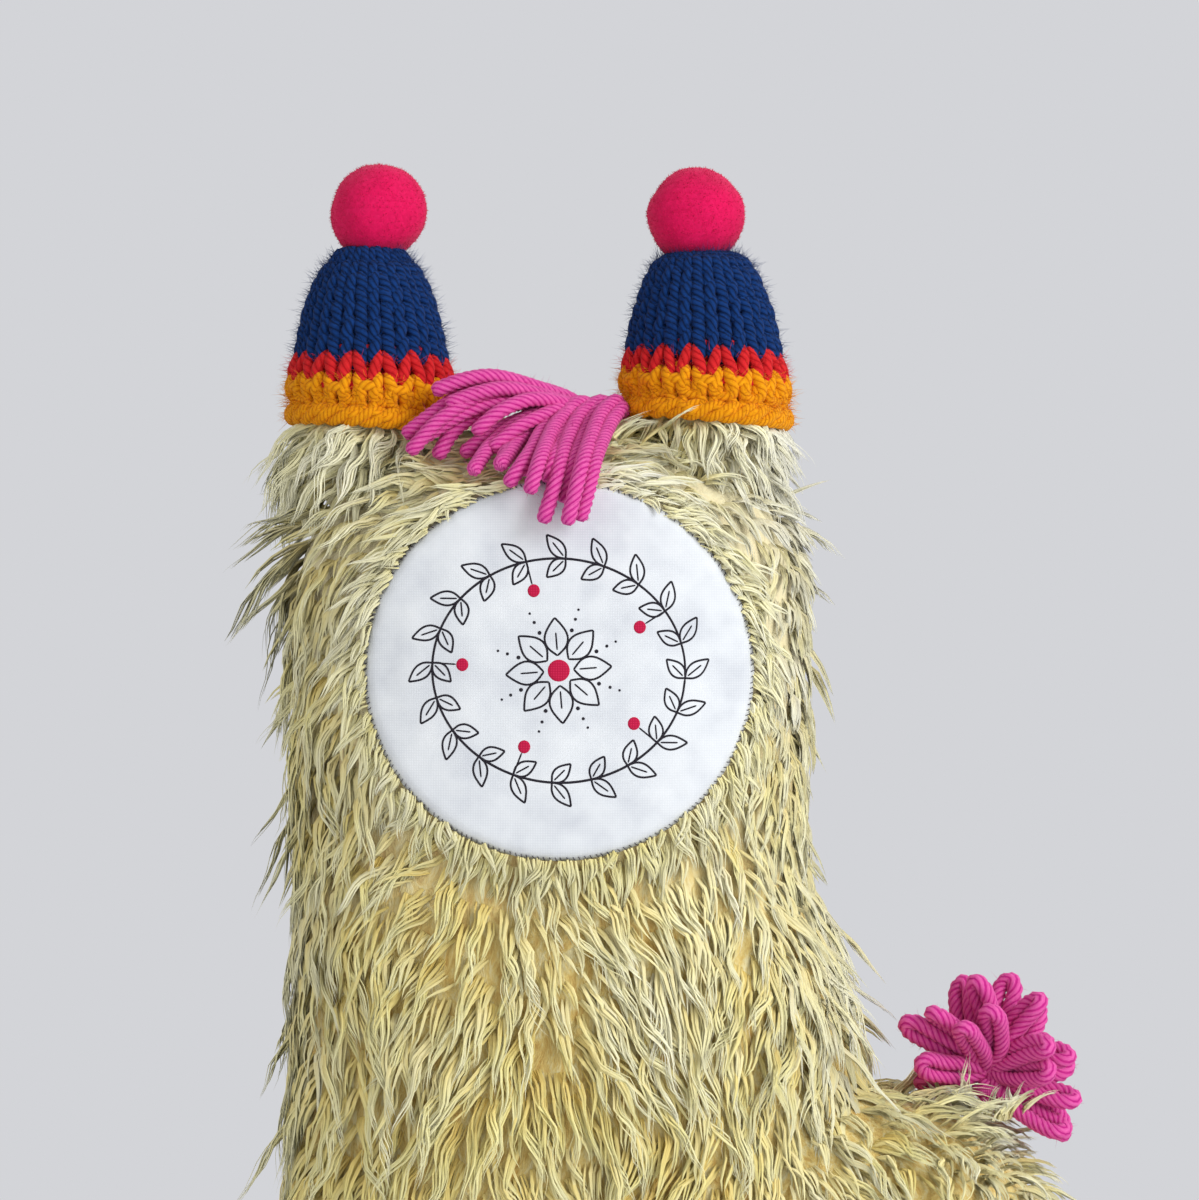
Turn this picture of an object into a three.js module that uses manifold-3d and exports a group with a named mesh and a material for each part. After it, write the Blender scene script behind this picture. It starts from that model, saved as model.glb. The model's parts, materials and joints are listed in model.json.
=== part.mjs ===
// A stuffed llama toy in long-pile fabric, seen side on: its neck and chest stand upright at -X,
// its rump reaches to +X, and the round cotton face is sewn to the -Y side of the head.
// Millimetres, +Z up, origin at the middle of the footprint. Outer sizes include the dense
// part of the pile; loose tips stand a little further out.
import * as THREE from 'three';
import { mergeVertices } from 'three/addons/utils/BufferGeometryUtils.js';
import Module from 'manifold-3d';

const wasm = await Module();
wasm.setup();

// Clearances and cloth
const SEAT_GAP = 0.3;          // between pieces that are sewn or pushed together
const SWING_GAP = 0.4;         // round a soft joint
const PILE_WALL = 7;           // fur fabric: backing cloth and the dense part of its pile
const EAR_WALL = 2.4;          // short-pile fabric of the ears
const STUFFING_GAP = 0.5;      // filling to the inside of the fur fabric
const FOOT_CLOTH = 2;          // felt of the soles

// Heights above the floor
const BELLY_Z = 51;
const CHEST_Z = 54;
const HEAD_TOP_Z = 320;
const EAR_ROOT_Z = HEAD_TOP_Z - 14;
const FACE_Z = HEAD_TOP_Z - 63;
const HIP_Z = 62;
const BACK_Z_AT_TAIL = 147;
const NAPE_Z = 152;            // the filling of the neck meets that of the trunk here

// Neck, chest and head, as level sections: height, chest side, rump side, half depth
const NECK_SECTIONS = [
  [CHEST_Z, -58, 46, 42],
  [90, -66, 66, 45],
  [125, -68, 82, 45],
  [150, -68, 82, 44],
  [163, -67, 75, 43],
  [178, -66, 67.5, 42],
  [195, -65.5, 62, 41],
  [225, -66.5, 62, 40],
  [260, -67, 63, 40],
  [290, -67.5, 62, 39],
  [HEAD_TOP_Z, -67, 59.5, 38],
];
// Trunk, as upright sections: place along it, underside, back line, half depth
const TRUNK_SECTIONS = [
  [-50, BELLY_Z + 7, 140, 42],
  [-10, BELLY_Z + 1, 150, 46],
  [30, BELLY_Z, 156, 46],
  [72, BELLY_Z, 156, 46],
  [90, BELLY_Z + 2, 151.5, 45],
  [107, BELLY_Z + 6, BACK_Z_AT_TAIL, 43],
  [118, BELLY_Z + 11, 142, 40],
  [127, BELLY_Z + 16, 138, 37],
];
const SECTION_SQUARENESS = 2.5; // exponent of the superellipse that each section follows
const HEAD_CAP = { length: 30, corner: 17 };
const CHEST_CAP = { length: 26, corner: 22 };
const TRUNK_START_CAP = { length: 10, corner: 10 };
const RUMP_CAP = { length: 24, corner: 26 };
const NO_THINNER_THAN = 0.12;  // share of its size that a closing section keeps
const LEAST_CORE = 0.35;       // share of its depth that a section drawn in keeps

// Face patch, an ellipse seen from the front
const FACE = { x: 0, halfWidth: 47.5, halfHeight: 46, tilt: THREE.MathUtils.degToRad(-3.5) };
const FACE_CLOTH = 1;
const FACE_PADDING = 1.2;
const FACE_HEM = 2.4;          // turned-in edge round the padding
const FACE_THREAD = 0.9;       // width and height of the whipped edge

// Ears with knitted caps, measured from the ear's root up
const EARS = [
  { name: 'left', x: -47, tilt: -0.5, rise: 0, pompomSink: 0, pompomShift: 2 },
  { name: 'right', x: 37, tilt: -2, rise: 1.5, pompomSink: 2.5, pompomShift: -1 },
];
const CAP_BOTTOM = 10;
const BRIM_HEIGHT = 14.5;
const STRIPE_HEIGHT = 5.5;
const BRIM_PROUD = 0.8;
const KNIT_WALL = 4.3;
// Outside of the cap: height over its lower edge, radius
const CAP_OUTLINE = [[0, 21], [8, 21], [14.5, 20.3], [20, 19.3], [27, 17.8], [35, 15.5], [41, 12.6], [44.6, 9.4]];
const CAP_RIM_HEIGHT = 45.7;   // gathered rim of the crown, with a pucker inside it
const CAP_RIM_RADIUS = 7.6;
const CAP_PUCKER_HEIGHT = 42;
const CAP_SHOULDER = { height: 3, width: 0.45, rise: 2.4 }; // rounding of the room inside the crown
const EAR_ROOT_RADIUS = 16.4;
const EAR_MOUTH_RADIUS = 5;    // opening that the ear is stuffed through
const EAR_SWING = { back: -25, forward: 8 };
const POMPOM_RADIUS = 12.6;

// Yarn
const YARN_RADIUS = 1.9;
const FORELOCK = { x: 9, y: -5, z: HEAD_TOP_Z + 2.5, knot: 4.5, strands: 11, lift: 35 };
const FORELOCK_REACH = 39;     // longest strand, pointing to the chest side
const FORELOCK_DROP = 31;      // longest strand, hanging over the face
const FORELOCK_FRONT = 27;     // how far in front of the ears the strand ends lie
const TAIL = { x: 107, rootZ: BACK_Z_AT_TAIL - 0.5, root: 4.6, stem: 3.4, knotRise: 9, knot: 5.6, swing: 25 };
// Loops of the tail: direction in degrees from +X, length, lean to the side
const TAIL_LOOPS = [
  [152, 24, -6], [131, 25, 8], [107, 24, -7], [86, 22, 8], [60, 20, -8],
  [34, 19, 7], [8, 19, -6], [-17, 20, 5], [171, 17, 5], [118, 17, -13], [72, 17, 13],
];
const TAIL_LOOP_SPREAD = 0.16; // half angle between the two runs of a loop, in radians
const TAIL_TIE = 1;

// Legs
const LEG = { footRadius: 16.5, bulgeRadius: 20, hipRadius: 18, wall: 5, swing: 20 };
const LEGS = [
  { name: 'chest_near', x: -42, side: -1 },
  { name: 'chest_far', x: -42, side: 1 },
  { name: 'rump_near', x: 98, side: -1 },
  { name: 'rump_far', x: 98, side: 1 },
];
const LEG_SPREAD = 24;         // middle of the toy to the middle of each leg

// Mesh detail
const ROUND_SIDES = 14;
const SOCKET_SIDES = 12;
const YARN_SIDES = 5;
const OUTSIDE_DETAIL = { neckRings: 16, trunkRings: 11, sides: 28 };
const INSIDE_DETAIL = { neckRings: 9, trunkRings: 8, sides: 16 };
const BEYOND = 400;            // reaches past the whole toy

const cloth = (name, color, roughness = 0.95) =>
  new THREE.MeshStandardMaterial({ name, color, roughness, metalness: 0 });
const MATERIALS = {
  fur: cloth('cream_fur', 0xe4d9a4, 1),
  filling: cloth('polyester_filling', 0xf4f3ee),
  cotton: cloth('white_cotton', 0xe9e9ee),
  thread: cloth('dark_thread', 0x3a3336),
  felt: cloth('cream_felt', 0xcdbf8c),
  blue: cloth('blue_yarn', 0x144a8c),
  red: cloth('red_yarn', 0xc8252b),
  yellow: cloth('yellow_yarn', 0xf2a40c),
  pompom: cloth('pink_pompom', 0xd8174f, 1),
  pink: cloth('pink_yarn', 0xd94fb0),
};

// Solids

function toSolid(geometry) {
  const bare = geometry.clone();
  for (const name of Object.keys(bare.attributes)) if (name !== 'position') bare.deleteAttribute(name);
  const merged = mergeVertices(bare, 1e-4);
  return new wasm.Manifold(new wasm.Mesh({
    numProp: 3,
    vertProperties: merged.attributes.position.array,
    triVerts: new Uint32Array(merged.index.array),
  }));
}

function toGeometry(solid) {
  const { numProp, numVert, vertProperties, triVerts } = solid.getMesh();
  const places = new Float32Array(numVert * 3);
  for (let i = 0; i < numVert; i++) places.set(vertProperties.subarray(i * numProp, i * numProp + 3), i * 3);
  const geometry = new THREE.BufferGeometry();
  geometry.setAttribute('position', new THREE.BufferAttribute(places, 3));
  geometry.setIndex(new THREE.BufferAttribute(triVerts, 1));
  geometry.computeVertexNormals();
  return geometry;
}

const joined = (solids) => solids.reduce((all, solid) => all.add(solid));

function mesh(name, solid, material) {
  const made = new THREE.Mesh(toGeometry(solid), material);
  made.name = name;
  return made;
}

// A profile of radius and height turned about the Z axis.
const turned = (profile, sides = ROUND_SIDES) =>
  toSolid(new THREE.LatheGeometry(profile, sides).rotateX(Math.PI / 2));

function ball(radius, sides = ROUND_SIDES) {
  return toSolid(new THREE.SphereGeometry(radius, sides, Math.round(sides * 0.7)).rotateX(Math.PI / 2));
}

// A box that holds everything from low to high along one axis.
function slab(axis, low, high) {
  const size = new THREE.Vector3(2 * BEYOND, 2 * BEYOND, 2 * BEYOND);
  const centre = new THREE.Vector3();
  size[axis] = high - low;
  centre[axis] = (low + high) / 2;
  return toSolid(new THREE.BoxGeometry(...size.toArray()).translate(...centre.toArray()));
}

// A round with few sides that still holds a circle of the given radius.
const holding = (radius) => radius / Math.cos(Math.PI / SOCKET_SIDES);

// The room that a stem of the given radius needs as it leans by an angle to any side: a ball
// about its root, opening over a height into a cone that touches the ball all round.
function leaningRoom(radius, angle, height) {
  const lean = THREE.MathUtils.degToRad(angle);
  const round = holding(radius);
  const ballPart = new THREE.EllipseCurve(0, 0, round, round, -Math.PI / 2, -lean).getPoints(5);
  ballPart[0].x = 0;
  return turned([
    ...ballPart,
    new THREE.Vector2(round / Math.cos(lean) + height * Math.tan(lean), height),
    new THREE.Vector2(0, height),
  ], SOCKET_SIDES);
}

// A tube of yarn through the given points.
function yarn(points, steps) {
  const round = new THREE.EllipseCurve(0, 0, YARN_RADIUS, YARN_RADIUS).getPoints(YARN_SIDES);
  const section = new THREE.Shape(round.slice(0, YARN_SIDES));
  return toSolid(new THREE.ExtrudeGeometry(section, {
    steps,
    bevelEnabled: false,
    extrudePath: new THREE.CatmullRomCurve3(points),
  }));
}

// Body

// Sizes of the section at one place along a set of sections: its low side, high side and half depth.
function sectionAt(sections, along) {
  const places = sections.map((section) => section[0]);
  const sizes = sections.flatMap((section) => section.slice(1));
  const curve = new THREE.CubicInterpolant(places, sizes, 3);
  return [...curve.evaluate(THREE.MathUtils.clamp(along, places[0], places.at(-1)))];
}

// How round the end is at a distance from it: 1 away from the end, falling along a quarter circle.
function closing(distance, cap) {
  const into = THREE.MathUtils.clamp(1 - distance / cap.length, 0, 1);
  return Math.max(NO_THINNER_THAN, Math.sqrt(1 - into * into));
}

// The section at a share of the whole length, drawn in by inset and closed towards both ends.
function bodySection({ sections, startCap, endCap }, share, inset) {
  const start = sections[0][0];
  const end = sections.at(-1)[0];
  const along = THREE.MathUtils.lerp(start, end, share);
  const [low, high, depth] = sectionAt(sections, along);
  const roundness = [closing(along - start, startCap), closing(end - along, endCap)];
  const drawnIn = startCap.corner * (1 - roundness[0]) + endCap.corner * (1 - roundness[1]) + inset;
  const closedDepth = depth * roundness[0] * roundness[1];
  return {
    along: THREE.MathUtils.lerp(start + inset, end - inset, share),
    low: low + drawnIn,
    high: high - drawnIn,
    depth: Math.max(closedDepth - inset, closedDepth * LEAST_CORE),
  };
}

// A closed skin over a row of sections. Sections of an upright form lie level, and others stand across X.
function loft(form, inset, rings, sides) {
  const power = 2 / SECTION_SQUARENESS;
  const rounded = (value) => Math.sign(value) * Math.abs(value) ** power;
  const places = [];
  const faces = [];
  const put = (across, depth, along) => places.push(...(form.upright ? [across, depth, along] : [along, -depth, across]));
  for (let i = 0; i <= rings; i++) {
    const share = 0.5 - 0.5 * Math.cos(Math.PI * i / rings);
    const { along, low, high, depth } = bodySection(form, share, inset);
    for (let j = 0; j < sides; j++) {
      const angle = 2 * Math.PI * j / sides;
      put((low + high) / 2 + (high - low) / 2 * rounded(Math.cos(angle)), depth * rounded(Math.sin(angle)), along);
    }
    if (i === 0 || i === rings) put((low + high) / 2, 0, along);
  }
  const startPole = sides;
  const ringStart = (i) => i * sides + (i > 0 ? 1 : 0);
  const endPole = ringStart(rings) + sides;
  for (let j = 0; j < sides; j++) {
    const next = (j + 1) % sides;
    faces.push(startPole, next, j);
    for (let i = 0; i < rings; i++) {
      const [a, b] = [ringStart(i), ringStart(i + 1)];
      faces.push(a + j, a + next, b + next, a + j, b + next, b + j);
    }
    faces.push(endPole, ringStart(rings) + j, ringStart(rings) + next);
  }
  const geometry = new THREE.BufferGeometry();
  geometry.setAttribute('position', new THREE.BufferAttribute(new Float32Array(places), 3));
  geometry.setIndex(faces);
  return toSolid(geometry);
}

const NECK = { sections: NECK_SECTIONS, startCap: CHEST_CAP, endCap: HEAD_CAP, upright: true };
const TRUNK = { sections: TRUNK_SECTIONS, startCap: TRUNK_START_CAP, endCap: RUMP_CAP, upright: false };
const neckForm = (inset, { neckRings, sides }) => loft(NECK, inset, neckRings, sides);
const trunkForm = (inset, { trunkRings, sides }) => loft(TRUNK, inset, trunkRings, sides);

// How far the front of the head stands from the middle plane at a point seen from the front.
function frontDepth(x, z) {
  const share = (z - CHEST_Z) / (HEAD_TOP_Z - CHEST_Z);
  if (share >= 1) return 0;
  const { low, high, depth } = bodySection(NECK, share, 0);
  const across = Math.abs((x - (low + high) / 2) / ((high - low) / 2));
  return across >= 1 ? 0 : depth * (1 - across ** SECTION_SQUARENESS) ** (1 / SECTION_SQUARENESS);
}

// Face

// The front of the head out to a height over the fur, cut to an ellipse drawn in by inset.
function facePlate(height, inset) {
  const outline = new THREE.Shape();
  outline.absellipse(0, 0, FACE.halfWidth - inset, FACE.halfHeight - inset, 0, 2 * Math.PI);
  const plug = toSolid(new THREE.ExtrudeGeometry(outline, { depth: BEYOND, bevelEnabled: false, curveSegments: 16 })
    .rotateZ(FACE.tilt)
    .rotateX(Math.PI / 2)
    .translate(FACE.x, 0, FACE_Z));
  return neckForm(-height, OUTSIDE_DETAIL).intersect(plug);
}

function makeFace() {
  const underside = neckForm(-SEAT_GAP, OUTSIDE_DETAIL);
  const clothHeight = SEAT_GAP + FACE_PADDING + SEAT_GAP + FACE_CLOTH;
  const padding = facePlate(SEAT_GAP + FACE_PADDING, FACE_HEM + SEAT_GAP).subtract(underside);
  const pocket = facePlate(SEAT_GAP + FACE_PADDING + SEAT_GAP, FACE_HEM);
  const patch = facePlate(clothHeight, 0).subtract(underside).subtract(pocket);
  const thread = facePlate(SEAT_GAP + FACE_THREAD, -SEAT_GAP - FACE_THREAD)
    .subtract(facePlate(clothHeight, -SEAT_GAP))
    .subtract(underside);
  return [
    mesh('face_padding', padding, MATERIALS.filling),
    mesh('face_patch', patch, MATERIALS.cotton),
    mesh('face_edge_thread', thread, MATERIALS.thread),
  ];
}

// Ears and caps

const CAP_CURVE = new THREE.CubicInterpolant(CAP_OUTLINE.map(([h]) => h), CAP_OUTLINE.map(([, r]) => r), 1);
const capRadius = (height) => CAP_CURVE.evaluate(height)[0];

// Points up the side of the cap from one height to another, outset from its outline.
function capSide(from, to, outset, count) {
  return Array.from({ length: count + 1 }, (_, i) => {
    const height = THREE.MathUtils.lerp(from, to, i / count);
    return new THREE.Vector2(capRadius(height) + outset, height);
  });
}

// A band of knitting between two heights of the cap.
function capBand(from, to, proud) {
  return turned([
    ...capSide(from, to, proud, 2),
    ...capSide(from, to, -KNIT_WALL, 1).reverse(),
    capSide(from, to, proud, 2)[0],
  ]);
}

const CROWN_START = BRIM_HEIGHT + STRIPE_HEIGHT + 2 * SEAT_GAP;
const CROWN_SIDE_TOP = CAP_OUTLINE.at(-1)[0];

// The crown's inside, drawn in further by inset, from a height up to the axis.
function crownInside(from, inset) {
  const top = CAP_PUCKER_HEIGHT - KNIT_WALL - inset;
  const shoulder = top - CAP_SHOULDER.height;
  return [
    ...capSide(from, shoulder, -KNIT_WALL - inset, 3),
    new THREE.Vector2(capRadius(shoulder) * CAP_SHOULDER.width, shoulder + CAP_SHOULDER.rise),
    new THREE.Vector2(0, top),
  ];
}

function capCrown() {
  return turned([
    ...capSide(CROWN_START, CROWN_SIDE_TOP, 0, 6),
    new THREE.Vector2(CAP_RIM_RADIUS, CAP_RIM_HEIGHT),
    new THREE.Vector2(CAP_RIM_RADIUS * 0.6, CAP_RIM_HEIGHT - 0.9),
    new THREE.Vector2(0, CAP_PUCKER_HEIGHT),
    ...crownInside(CROWN_START, 0).reverse(),
    capSide(CROWN_START, CROWN_SIDE_TOP, 0, 6)[0],
  ].filter((point, i, all) => i === 0 || !point.equals(all[i - 1])));
}

// The ear's outside, drawn in by inset: a ball about its root, then the inside of the cap.
function earSide(inset, mouth) {
  const radius = EAR_ROOT_RADIUS - inset;
  const mouthAngle = Math.acos(mouth / radius);
  const root = new THREE.EllipseCurve(0, 0, radius, radius, -mouthAngle, 0).getPoints(4);
  return [...root, ...crownInside(2, inset + SEAT_GAP).map((point) => point.setY(point.y + CAP_BOTTOM))];
}

const earSkin = () => turned([...earSide(0, EAR_MOUTH_RADIUS), ...earSide(EAR_WALL, EAR_MOUTH_RADIUS).reverse(),
  earSide(0, EAR_MOUTH_RADIUS)[0]].filter((point, i, all) => i === 0 || !point.equals(all[i - 1])));
const earFilling = () => turned([new THREE.Vector2(0, EAR_WALL + SEAT_GAP - EAR_ROOT_RADIUS),
  ...earSide(EAR_WALL + SEAT_GAP, EAR_MOUTH_RADIUS - SEAT_GAP)]);

// What the ear's root and the lower edge of its cap pass through as the ear flops.
function earPath({ x, tilt, rise }) {
  const column = holding(EAR_ROOT_RADIUS + SWING_GAP);
  const brim = holding(capRadius(0) + BRIM_PROUD + SWING_GAP);
  const bottom = CAP_BOTTOM - SWING_GAP;
  const upper = turned([
    new THREE.Vector2(0, 0),
    new THREE.Vector2(column, 0),
    new THREE.Vector2(column, bottom),
    new THREE.Vector2(brim, bottom),
    new THREE.Vector2(brim, CAP_BOTTOM + BRIM_HEIGHT),
    new THREE.Vector2(0, CAP_BOTTOM + BRIM_HEIGHT),
  ], SOCKET_SIDES);
  const poses = [EAR_SWING.back, EAR_SWING.back / 2, 0, EAR_SWING.forward].map((flop) => upper.rotate([flop, 0, 0]));
  return joined([ball(column, SOCKET_SIDES), ...poses]).rotate([0, tilt, 0]).translate([x, 0, EAR_ROOT_Z + rise]);
}

function makeEar({ name, x, tilt, rise, pompomSink, pompomShift }) {
  const pompomZ = CAP_PUCKER_HEIGHT + SEAT_GAP + POMPOM_RADIUS - pompomSink;
  const pompomHollow = ball(POMPOM_RADIUS + SEAT_GAP).translate([pompomShift, 0, pompomZ]);
  const cap = new THREE.Group();
  cap.position.z = CAP_BOTTOM;
  const stripeStart = BRIM_HEIGHT + SEAT_GAP;
  cap.add(
    mesh(`${name}_cap_brim`, capBand(0, BRIM_HEIGHT, BRIM_PROUD), MATERIALS.yellow),
    mesh(`${name}_cap_stripe`, capBand(stripeStart, stripeStart + STRIPE_HEIGHT, 0), MATERIALS.red),
    mesh(`${name}_cap_crown`, capCrown().subtract(pompomHollow), MATERIALS.blue),
  );
  const pompom = mesh(`${name}_pompom`, ball(POMPOM_RADIUS), MATERIALS.pompom);
  pompom.position.set(pompomShift, 0, pompomZ);
  cap.add(pompom);
  const ear = new THREE.Group();
  ear.position.set(x, 0, EAR_ROOT_Z + rise);
  ear.rotation.y = THREE.MathUtils.degToRad(tilt);
  ear.add(
    mesh(`${name}_ear_fabric`, earSkin(), MATERIALS.fur),
    mesh(`${name}_ear_filling`, earFilling(), MATERIALS.filling),
    cap,
  );
  return ear;
}

// Forelock and tail

// One strand of the forelock. Its turn runs from 0, towards the chest, to 1, down over the face.
function forelockStrand(turn) {
  const direction = THREE.MathUtils.degToRad(THREE.MathUtils.lerp(-4, 96, turn));
  const length = THREE.MathUtils.lerp(FORELOCK_REACH, FORELOCK_DROP, turn) * (turn * 7 % 2 < 1 ? 1 : 0.8);
  const hover = YARN_RADIUS + FACE_CLOTH + FACE_PADDING + 3 * SEAT_GAP + SWING_GAP;
  const steps = 6;
  const points = [new THREE.Vector3(FORELOCK.x, FORELOCK.y, FORELOCK.z)];
  for (let i = 1; i <= steps; i++) {
    const gone = length * i / steps;
    const arch = THREE.MathUtils.lerp(7, 3, turn) * Math.sin(Math.PI * Math.min(1, 1.35 * i / steps));
    const x = FORELOCK.x - gone * Math.cos(direction);
    const z = FORELOCK.z - gone * Math.sin(direction) + arch;
    const forward = THREE.MathUtils.lerp(-FORELOCK.y, FORELOCK_FRONT, (i / steps) ** 0.8);
    points.push(new THREE.Vector3(x, -Math.max(frontDepth(x, z - 2 * YARN_RADIUS) + hover, forward), z));
  }
  return yarn(points, 6);
}

const forelock = () => joined([
  ball(FORELOCK.knot, SOCKET_SIDES).translate([FORELOCK.x, FORELOCK.y, FORELOCK.z]),
  ...Array.from({ length: FORELOCK.strands }, (_, i) => forelockStrand(i / (FORELOCK.strands - 1))),
]);

// A loop of yarn that leaves the tail's knot and comes back to it.
function tailLoop([direction, length, lean]) {
  const angle = THREE.MathUtils.degToRad(direction);
  const at = (share, side) => new THREE.Vector3(
    length * share * Math.cos(angle + side * TAIL_LOOP_SPREAD / share ** 0.5),
    lean * share,
    length * share * Math.sin(angle + side * TAIL_LOOP_SPREAD / share ** 0.5),
  );
  const out = [new THREE.Vector3(), at(0.45, 1), at(0.8, 1), at(1, 0)];
  const back = [at(0.8, -1), at(0.45, -1), new THREE.Vector3()];
  return yarn([...out, ...back], 8).translate([TAIL.x, 0, TAIL.rootZ + TAIL.knotRise]);
}

function tailStem(outset) {
  const radius = TAIL.stem + outset;
  return turned([new THREE.Vector2(0, 0), new THREE.Vector2(radius, 0), new THREE.Vector2(radius, TAIL.knotRise),
    new THREE.Vector2(0, TAIL.knotRise + radius * 0.6)], 8).translate([TAIL.x, 0, TAIL.rootZ]);
}

function makeTail() {
  const tieHeight = TAIL.knotRise * 0.52;
  const inside = TAIL.stem + SEAT_GAP;
  const tie = toSolid(new THREE.TorusGeometry(inside + TAIL_TIE, TAIL_TIE, 5, SOCKET_SIDES))
    .translate([TAIL.x, 0, TAIL.rootZ + tieHeight]);
  const root = ball(TAIL.root, 8).translate([TAIL.x, 0, TAIL.rootZ]);
  const knot = ball(TAIL.knot, 8).translate([TAIL.x, 0, TAIL.rootZ + TAIL.knotRise]);
  const loops = joined([root, tailStem(0), knot, ...TAIL_LOOPS.map(tailLoop)]);
  const tieRoom = toSolid(new THREE.TorusGeometry(inside + TAIL_TIE, TAIL_TIE + SEAT_GAP, 6, SOCKET_SIDES))
    .translate([TAIL.x, 0, TAIL.rootZ + tieHeight]).subtract(tailStem(0));
  return [
    mesh('tail_yarn', loops.subtract(tieRoom), MATERIALS.pink),
    mesh('tail_tie', tie, MATERIALS.pink),
  ];
}

// Legs

// The side of a leg drawn in by inset, from just over the sole to the top of its dome.
function legSide(inset, bottom = FOOT_CLOTH + SEAT_GAP) {
  const { footRadius, bulgeRadius, hipRadius } = LEG;
  const path = new THREE.Path();
  path.moveTo(footRadius - inset, bottom);
  path.quadraticCurveTo(bulgeRadius - inset, HIP_Z / 2, hipRadius - inset, HIP_Z);
  path.absarc(0, HIP_Z, hipRadius - inset, 0, Math.PI / 2);
  const points = path.getPoints(3);
  points.at(-1).x = 0;
  return points;
}

const legCentre = ({ x, side }) => new THREE.Vector3(x, side * LEG_SPREAD, 0);

// The leg's bulge is wider than its hip, so its room leans a little further than it swings.
const legPath = (leg) => leaningRoom(LEG.hipRadius + SWING_GAP, LEG.swing + 4, HIP_Z)
  .rotate([180, 0, 0])
  .translate(legCentre(leg).setZ(HIP_Z).toArray());

function makeLeg(leg) {
  const bottom = FOOT_CLOTH + SEAT_GAP;
  const skin = turned([...legSide(0), ...legSide(LEG.wall).reverse(), legSide(0)[0]]);
  const filling = turned([new THREE.Vector2(0, bottom), ...legSide(LEG.wall + SEAT_GAP)]);
  const sole = turned([
    new THREE.Vector2(0, 0),
    new THREE.Vector2(LEG.footRadius - 1, 0),
    new THREE.Vector2(LEG.footRadius, 1),
    new THREE.Vector2(LEG.footRadius, FOOT_CLOTH),
    new THREE.Vector2(0, FOOT_CLOTH),
  ]);
  const made = new THREE.Group();
  made.position.copy(legCentre(leg));
  made.add(
    mesh(`${leg.name}_leg_fabric`, skin, MATERIALS.fur),
    mesh(`${leg.name}_leg_filling`, filling, MATERIALS.filling),
    mesh(`${leg.name}_sole`, sole, MATERIALS.felt),
  );
  return made;
}

// Fur fabric and filling of the body

function makeBody() {
  const paths = joined([...EARS.map(earPath), ...LEGS.map(legPath)]);
  const sockets = joined([
    ball(FORELOCK.knot + SWING_GAP, 12).translate([FORELOCK.x, FORELOCK.y, FORELOCK.z]),
    ball(TAIL.root + SWING_GAP, 12).translate([TAIL.x, 0, TAIL.rootZ]),
    leaningRoom(TAIL.stem + SWING_GAP, TAIL.swing, TAIL.knotRise).translate([TAIL.x, 0, TAIL.rootZ]),
  ]);
  const cuts = paths.add(sockets);
  const outside = neckForm(0, OUTSIDE_DETAIL).add(trunkForm(0, OUTSIDE_DETAIL));
  const inside = neckForm(PILE_WALL, INSIDE_DETAIL).add(trunkForm(PILE_WALL, INSIDE_DETAIL));
  const skin = outside.subtract(inside).subtract(cuts);
  const half = (low, high) => skin.intersect(slab('y', low, high));
  const wad = (low, high) => filling.intersect(slab('z', low, high));
  const inset = PILE_WALL + STUFFING_GAP;
  const filling = neckForm(inset, INSIDE_DETAIL).add(trunkForm(inset, INSIDE_DETAIL)).subtract(cuts);
  return [
    mesh('front_fur_panel', half(-BEYOND, -SEAT_GAP / 2), MATERIALS.fur),
    mesh('back_fur_panel', half(SEAT_GAP / 2, BEYOND), MATERIALS.fur),
    mesh('neck_filling', wad(NAPE_Z + SEAT_GAP, BEYOND), MATERIALS.filling),
    mesh('trunk_filling', wad(-BEYOND, NAPE_Z), MATERIALS.filling),
  ];
}

const llama = new THREE.Group();
llama.add(
  ...makeBody(),
  ...makeFace(),
  ...EARS.map(makeEar),
  mesh('forelock_yarn', forelock(), MATERIALS.pink),
  ...makeTail(),
  ...LEGS.map(makeLeg),
);

// The origin is under the middle of the whole toy, on the floor.
const extent = new THREE.Box3().setFromObject(llama, true);
const middle = extent.getCenter(new THREE.Vector3());
llama.position.set(-middle.x, -middle.y, -extent.min.z);

export default llama;
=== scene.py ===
# %% [markdown]
# This lesson dresses a stuffed llama toy. The real one is sewn from long, wavy, silky pile fabric
# round a loose filling. It has a round cotton face, two ears that wear knitted caps with pompoms,
# a forelock and a tail of plied yarn, and four soft legs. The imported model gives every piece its
# place, so the lesson starts by loading it and by measuring the box that the looks must stay in.

# %% Load the frame and measure it
import json
import math

import bpy
import numpy as np
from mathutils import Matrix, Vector, noise
from mathutils.bvhtree import BVHTree
from mathutils.kdtree import KDTree

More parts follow.
